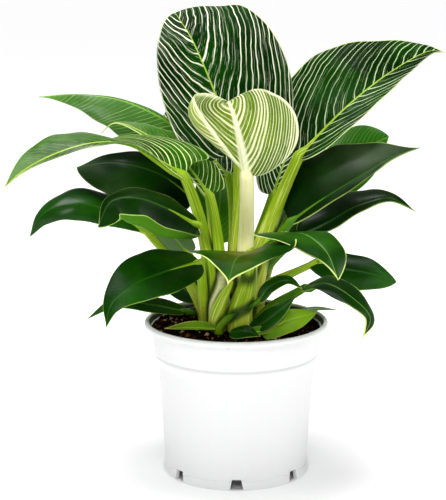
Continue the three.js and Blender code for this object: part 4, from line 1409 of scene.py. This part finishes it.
LEAVES = (
    Leaf(
        "leaf_01", LeafTone.STRIPED, rib=((1, 2, 210), (-14, 8, 248), (-28, 20, 279), (-40, 42, 296)),
        face=((-95, 2), (-100, 22), (-100, 65)), wide=(34, 51), shape=(0.8, 0.45, 0.68), fold=(14, 14),
        curl=(-8, -18), lobe=0.35, sweep=0.2, foot=(-95, 116, 6), stalk=(5, 3.4),
        left=Half(shape=(0.56, 0.45, 0.62)), right=Half(shape=(0.74, 0.45, 0.5), sweep=0.12),
        stalk_tone=StalkTone.LIME, wings=0.3, spacing=9.5, ruffle=0.8, slant=1, bow=1.2,
    ),
    Leaf(
        "leaf_02", LeafTone.PINSTRIPED,
        rib=((39, 2, 206), (71, 11, 238), (100, 23, 259), (125, 36, 271), (138, 48, 270)),
        face=((-112, 10), (-112, 30)), wide=(41, 19), shape=(0.62, 0.55, 1.35), fold=(14, 8),
        curl=(-14, -20), foot=(-20, 112, 10), stalk=(7.5, 4),
        right=Half(shape=(0.62, 0.9, 1.1), fold=(30, 20), curl=(10, 10)), stalk_tone=StalkTone.LIME,
        wings=0.55, spacing=8.5, slant=1, bow=1.1,
    ),
    Leaf(
        "leaf_03", LeafTone.YOUNG, rib=((6, -30, 199), (2, -32, 221), (-2, -28, 237), (-5, -24, 245)),
        face=((-88, 0), (-88, 6), (-88, 12)), wide=(40, 40), shape=(1, 0.6, 0.5), lobe=0.1, sweep=0.1,
        foot=(-62, 120, 9), stalk=(5.5, 4.4),
        left=Half(shape=(1.7, 1, 0.35), fold=(-20, -25), curl=(0, 0), roll=(230, 230), sweep=0.5),
        right=Half(fold=(25, 20), curl=(-10, 25)), stalk_tone=StalkTone.CREAM, wings=0.2, spacing=4.2,
        ruffle=0.3, upper_keel=1.8, slant=0.85, bow=0.9,
    ),
    Leaf(
        "leaf_04", LeafTone.HALF_STRIPED,
        rib=((-33, -22, 198), (-51, -30, 211), (-68, -42, 221), (-88, -54, 223), (-111, -64, 217),
             (-128, -70, 208), (-138, -74, 199)),
        face=((-62, 20), (-70, 62), (-80, 92), (-90, 80), (-95, 62), (-98, 38), (-100, 30)),
        wide=(5, 30), shape=(0.62, 0.42, 1), fold=(15, 0), curl=(-10, -30), lobe=0.9,
        foot=(-162, 98.5, 13), stalk=(5, 3.2), left=Half(fold=(30, 20, -10, -20, -20), curl=(0, 0)),
        spacing=4.2,
    ),
    Leaf(
        "leaf_05", LeafTone.HALF_STRIPED,
        rib=((-17, -10, 183), (-32, -6, 203), (-55, 0, 220), (-78, 6, 228), (-87, 8, 221)),
        face=((-55, 5), (-90, 60), (-95, 76)), wide=(4, 17), shape=(0.55, 0.5, 1.2), fold=(15, 0),
        curl=(-10, -30), lobe=0.5, foot=(-125, 98, 15), stalk=(4.5, 3), spacing=4,
    ),
    Leaf(
        "leaf_06", LeafTone.SAGE,
        rib=((-26, 22, 211), (-46, 26, 227), (-75, 28, 240), (-104, 26, 244), (-128, 22, 243)),
        face=((-90, 50), (-95, 65)), wide=(24, 7), shape=(0.62, 0.6, 1.3), fold=(-10, -20),
        curl=(-40, -30), foot=(165, 112, 10), stalk=(4.5, 2.8),
    ),
    Leaf(
        "leaf_07", LeafTone.DUSKY,
        rib=((-28, 20, 177), (-50, 18, 193), (-78, 14, 201), (-103, 8, 199)),
        face=((-85, 45), (-95, 50)), wide=(30, 16), shape=(0.7, 0.6, 1), fold=(5, 0), curl=(-30, -30),
        foot=(150, 98, 16), stalk=(4.5, 2.6), left=Half(shape=(0.9, 0.6, 0.6)),
    ),
    Leaf(
        "leaf_08", LeafTone.DARK,
        rib=((-58, 4, 158), (-81, -2, 172), (-106, -8, 179), (-124, -10, 171), (-132, -10, 157)),
        face=((-85, 45), (-100, 50)), wide=(12, 23), shape=(0.65, 0.6, 1.1), fold=(-5, -10),
        curl=(-40, -40), foot=(178, 97.5, 20), stalk=(4.5, 2.8), left=Half(shape=(1, 0.8, 0.9)),
    ),
    Leaf(
        "leaf_09", LeafTone.DUSKY,
        rib=((-24, -34, 169), (-42, -44, 181), (-60, -52, 189), (-76, -58, 188), (-84, -62, 173)),
        face=((-70, 50), (-95, 55)), wide=(34, 14), shape=(0.65, 0.55, 1.1), fold=(0, -5),
        curl=(-20, -25), foot=(-144, 98, 17), stalk=(4, 2.4),
        left=Half(shape=(0.85, 0.6, 0.8), fold=(-25, -25, -20, -15), curl=(0, 0),
                  roll=(190, 190, 200, 170, 90)),
    ),
    Leaf(
        "leaf_10", LeafTone.DARK,
        rib=((-23, -30, 145), (-45, -52, 143), (-65, -66, 137), (-76, -74, 127), (-79, -78, 114)),
        face=((-70, 50), (-105, 25)), wide=(15, 20), shape=(0.68, 0.5, 1.05), fold=(2, 2),
        curl=(-16, -16), lobe=0.15, foot=(-150, 97.5, 22), stalk=(3.6, 2.6), rise=0.45, flow=0,
        right=Half(shape=(0.68, 0.5, 1.4)),
    ),
    Leaf(
        "leaf_11", LeafTone.FRONT, rib=((9, -34, 152), (4, -58, 156), (-2, -84, 156), (-6, -97, 145)),
        face=((-95, 70), (-95, 25)), wide=(34, 34), shape=(0.7, 0.55, 1.6), fold=(8, 6),
        curl=(-12, -10), foot=(-80, 98, 18), stalk=(4.5, 2.8), left=Half(fold=(34, 10)),
        right=Half(fold=(-2, 4)),
    ),
    Leaf(
        "leaf_12", LeafTone.EDGED,
        rib=((30, -34, 164), (42, -50, 166), (54, -66, 158), (60, -78, 144)),
        face=((-40, 60), (-60, 25)), wide=(17, 25), shape=(0.7, 0.55, 1), fold=(5, 5), curl=(-20, -12),
        lobe=0.6, foot=(-42, 122, 8), stalk=(4.5, 2.6),
        left=Half(shape=(0.75, 0.5, 0.8), fold=(12, 5)), right=Half(shape=(0.42, 0.5, 1.3)),
        stalk_tone=StalkTone.DEEP,
    ),
    Leaf(
        "leaf_13", LeafTone.DUSKY,
        rib=((34, -8, 166), (52, -12, 180), (75, -14, 195), (97, -12, 208), (116, -8, 214)),
        face=((-115, 35), (-100, 50)), wide=(34, 6), shape=(0.6, 0.5, 1.2), fold=(6, 6),
        curl=(-16, -16), foot=(-2, 120, 10), stalk=(5, 2.8), stalk_tone=StalkTone.DEEP,
    ),
    Leaf(
        "leaf_14", LeafTone.STRIPED,
        rib=((-5, 30, 190), (-20, 48, 205), (-34, 62, 222), (-42, 78, 236)),
        face=((-80, 10), (-90, 40)), wide=(28, 28), shape=(0.75, 0.6, 1), fold=(10, 10),
        curl=(-10, -20), foot=(104, 117, 8.5), stalk=(4, 2.6), spacing=6, slant=1, bow=1,
    ),
    Leaf(
        "leaf_15", LeafTone.FRESH_AND_BACKLIT, rib=((46, 36, 180), (66, 46, 192), (86, 52, 205), (103, 54, 213)),
        face=((-105, 25), (-100, 35)), wide=(19, 22), shape=(0.8, 0.55, 0.9), fold=(5, 5),
        curl=(-10, -10), foot=(32, 99, 16), stalk=(4, 2.4), left=Half(shape=(1.5, 1, 0.7)),
    ),
    Leaf(
        "leaf_16", LeafTone.DUSKY,
        rib=((41, 14, 153), (61, 12, 163), (80, 6, 175), (99, 0, 180), (115, -4, 172)),
        face=((-90, 50), (-95, 55)), wide=(19, 7), shape=(0.6, 0.9, 1.15), fold=(10, 0),
        curl=(-30, -40), foot=(18, 112, 10), stalk=(4.2, 2.4), stalk_tone=StalkTone.DEEP,
    ),
    Leaf(
        "leaf_17", LeafTone.DARK, rib=((53, 14, 136), (68, 12, 132), (87, 6, 129.5), (104, 0, 125)),
        face=((-90, 50), (-95, 50)), wide=(15, 15), shape=(0.7, 0.7, 0.8), fold=(5, 0),
        curl=(-20, -20), lobe=0.7, foot=(2, 112, 9), stalk=(4.2, 2.4), rise=0.2, flow=0,
        right=Half(shape=(0.85, 0.6, 0.7)),
    ),
    Leaf(
        "leaf_18", LeafTone.EDGED,
        rib=((43, -20, 126), (56, -30, 131), (72, -40, 124), (82.5, -48, 113), (77.5, -52, 101)),
        face=((-60, 60), (-30, 30)), wide=(14, 11), shape=(0.65, 0.6, 1.1), fold=(10, 5),
        curl=(-20, -30), foot=(-27, 97.5, 19), stalk=(5, 2.8), stalk_tone=StalkTone.DEEP,
    ),
    Leaf(
        "leaf_19", LeafTone.FRESH_AND_BACKLIT,
        rib=((-11, 24, 146), (-11, 38, 165), (-10, 62, 181), (-10, 86, 185), (-10, 97, 169)),
        face=((-90, -20), (-90, 50), (-90, 75)), wide=(17, 17), shape=(0.8, 0.6, 1), fold=(8, 8),
        curl=(-8, -8), foot=(118, 99, 16),
    ),
    Leaf(
        "leaf_20", LeafTone.STRIPED, rib=((24, 28, 177), (31, 42, 194), (38, 58, 210), (44, 78, 221)),
        face=((-100, 5), (-90, 40)), wide=(18, 18), shape=(0.7, 0.6, 1), fold=(10, 10),
        curl=(-10, -20), foot=(50, 116, 9), stalk=(4, 2.6), spacing=5, slant=1, bow=1,
    ),
    Leaf(
        "leaf_21", LeafTone.DARK, rib=((28, 30, 148), (48, 52, 172), (70, 76, 182), (86, 93, 172)),
        face=((-120, 60), (45, 70)), wide=(19, 19), shape=(0.65, 0.6, 1), foot=(62, 99, 16),
        stalk=(4, 2.4),
    ),
    Leaf(
        "leaf_22", LeafTone.GREY, rib=((-32, 30, 138), (-52, 52, 154), (-74, 76, 158), (-90, 92, 148)),
        face=((-60, 60), (135, 70)), wide=(15, 15), shape=(0.65, 0.6, 1), foot=(135, 98, 17),
        stalk=(4, 2.4),
    ),
    Leaf(
        "leaf_23", LeafTone.DARK, rib=((-24, 24, 106), (-42, 44, 115), (-60, 62, 115), (-72, 74, 105)),
        face=((-60, 60), (135, 70)), wide=(15, 15), shape=(0.65, 0.6, 1), foot=(155, 98, 21),
        stalk=(3.6, 2.2),
    ),
)

SHORT_LEAVES = (
    Leaf(
        "basal_leaf_01", LeafTone.DARK,
        rib=((14, -30, 120), (21, -34, 130), (32, -38, 135), (41, -42, 130)),
        face=((-90, 50), (-90, 40)), wide=(5, 5), shape=(0.6, 0.6, 1), fold=(10, 10), curl=(-20, -20),
        foot=(-111, 98, 32), stalk=(2.4, 1.6), stalk_tone=StalkTone.DEEP,
    ),
    Leaf(
        "basal_leaf_02", LeafTone.PALE, rib=((16, -36, 99), (30, -31, 106), (51, -22, 110)),
        face=((-100, 50), (-100, 40)), wide=(9, 9), shape=(0.7, 0.6, 0.9), fold=(10, 10),
        curl=(-20, -20),
    ),
    Leaf(
        "basal_leaf_03", LeafTone.GREY, rib=((35, -8, 104), (49, -12, 110), (64, -18, 111)),
        face=((-90, 60), (-90, 60)), wide=(2.5, 2.5), shape=(0.6, 0.6, 1), fold=(10, 10),
        curl=(-20, -20),
    ),
    Leaf(
        "basal_leaf_04", LeafTone.DARK,
        rib=((-33, 2, 105), (-56, 0, 110), (-79, -4, 112), (-97, -8, 102)),
        face=((-90, 50), (-90, 40)), wide=(6, 6.5), shape=(0.6, 0.6, 1), fold=(10, 0), curl=(-20, -20),
        foot=(170, 98, 14), stalk=(3, 2), stalk_tone=StalkTone.DEEP,
    ),
    Leaf(
        "basal_leaf_05", LeafTone.PALE, rib=((-13, -29, 101), (-29, -30, 102), (-46, -27, 101)),
        face=((-90, 50), (-90, 40)), wide=(5, 5), shape=(0.6, 0.6, 1), fold=(30, 30), curl=(40, 40),
    ),
    Leaf(
        "basal_leaf_06", LeafTone.DARK, rib=((-4, -36, 101), (6, -41, 103), (15, -43, 100)),
        face=((-90, 60), (-90, 50)), wide=(6, 6), shape=(0.6, 0.6, 1), fold=(0, 0), curl=(-20, -20),
    ),
    Leaf(
        "basal_leaf_07", LeafTone.PALE, rib=((5, -33, 99), (15, -35, 101), (25, -33, 101)),
        face=((-90, 60), (-90, 50)), wide=(4, 4), shape=(0.6, 0.6, 1), fold=(10, 10), curl=(20, 20),
    ),
    Leaf(
        "basal_leaf_08", LeafTone.DARK, rib=((9, -32, 101), (22, -31, 109), (38, -24, 122)),
        face=((-100, 45), (-100, 40)), wide=(7, 6), shape=(0.6, 0.6, 1), fold=(10, 10),
        curl=(-20, -20),
    ),
)


# ---- Studio ----


@dataclass(frozen=True)
class Studio:
    """A pale glowing floor with painted shadow round the pot's foot, soft boxes, an even sky and the
    camera.
    """

    camera_at: Point = (-8.6, -950.0, 343.0)
    camera_pitch: float = 78.3
    lens: float = 108.0
    sensor: float = 36.0
    farthest: float = 100.0
    floor_radius: float = 14000.0
    sky_top: float = 0.07
    sky_edge: float = 1.0
    floor_colour: Colour = (0.50, 0.50, 0.50)
    floor_lift: float = 0.92
    contact_shadow: Colour = (0.02, 0.02, 0.021)
    soft_shadow: Colour = (0.48, 0.48, 0.485)

    def floor(self) -> None:
        """Builds the floor: one wide disc, whose glow is dimmed round the pot into a painted contact
        shadow and a wider soft painted shadow.
        """
        material, graph = new_graph("studio_floor")
        soft = graph.noise(graph.place(), 3.0)
        colour = graph.blend(soft.rise(0.3, 0.7) * 0.1, self.floor_colour, (0.485, 0.485, 0.49))
        # Painted shadow: the floor's glow is near black just round the pot's foot and grey further out,
        # rising to white.
        near = graph.radius()
        glow_with_shadow = graph.blend(near.rise(0.044, 0.050), self.contact_shadow, self.soft_shadow)
        glow_with_shadow = graph.blend(near.rise(0.054, 0.165), glow_with_shadow, (1.0, 1.0, 1.0))
        graph.finish(
            Base_Color=colour, Roughness=0.8, Emission_Color=glow_with_shadow, Emission_Strength=self.floor_lift
        )
        turn = np.linspace(0.0, 2 * np.pi, 64, endpoint=False)
        rim = np.stack([np.cos(turn), np.sin(turn), np.zeros(64)], axis=-1) * self.floor_radius
        mesh = bpy.data.meshes.new("floor")
        mesh.from_pydata((rim * MM).tolist(), [], [list(range(64))])
        place_mesh("floor", mesh, material)

    def soft_box(self, name: str, at: Point, size: float, power: float, aim: Point = (0, 0, 150)) -> None:
        """Adds a square area light.

        Args:
            name: The light's name.
            at: Where it stands, in millimetres.
            size: The length of its side.
            power: Its power in watts.
            aim: The point that it faces.
        """
        light = bpy.data.lights.new(name, "AREA")
        light.size = size * MM
        light.energy = power
        lamp = bpy.data.objects.new(name, light)
        lamp.location = np.array(at) * MM
        facing = np.array(aim, float) - np.array(at, float)
        flat = np.hypot(facing[0], facing[1])
        turn = np.arctan2(facing[1], facing[0]) - np.pi / 2
        lamp.rotation_euler = (np.arctan2(flat, -facing[2]), 0.0, turn)
        bpy.context.scene.collection.objects.link(lamp)

    def lights(self) -> None:
        """Adds the sky and the soft boxes."""
        world = bpy.data.worlds.new("studio_sky")
        bpy.context.scene.world = world
        world.use_nodes = True
        graph = Graph(world.node_tree)
        toward = graph.add("ShaderNodeTexCoord").outputs["Generated"]
        split = graph.add("ShaderNodeSeparateXYZ", None, {0: toward})
        climb = Value(graph, split.outputs["Z"]).rise(0.02, 0.26)
        colour = graph.blend(climb, (self.sky_edge,) * 3, (self.sky_top,) * 3)
        sky = graph.add("ShaderNodeBackground", None, {"Color": colour})
        graph.add("ShaderNodeOutputWorld", None, {"Surface": sky.outputs[0]})
        self.soft_box("box_front", (-60, -1300, 1150), 700, 11.5)
        self.soft_box("box_top", (-200, 60, 1450), 1100, 24.0)
        self.soft_box("box_left", (-1300, -200, 750), 700, 0.4)
        self.soft_box("box_right", (1300, 100, 950), 700, 5.0)

    def camera(self) -> None:
        """Adds the camera and plain colour handling."""
        data = bpy.data.cameras.new("camera")
        data.lens = self.lens
        data.sensor_width = self.sensor
        data.clip_end = self.farthest
        camera = bpy.data.objects.new("camera", data)
        camera.location = np.array(self.camera_at) * MM
        camera.rotation_euler = (np.radians(self.camera_pitch), 0.0, 0.0)
        scene = bpy.context.scene
        scene.collection.objects.link(camera)
        scene.camera = camera
        scene.view_settings.view_transform = "Standard"

    def build(self) -> None:
        """Builds the floor, the lights and the camera."""
        self.floor()
        self.lights()
        self.camera()


def main() -> None:
    """Builds the studio, the pot, the soil and the plant."""
    logging.basicConfig(level=logging.INFO, format="%(message)s")
    Studio().build()
    pot = NurseryPot()
    pot.build()
    SoilBed(pot).build()
    parts = (*CROWN, *LEAVES, *SHORT_LEAVES)
    crowd = [stalk for part in parts for stalk in part.stalks()]
    for part in parts:
        LOG.info("building %s", part.name)
        part.build(crowd)
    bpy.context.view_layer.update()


if __name__ == "__main__":
    main()
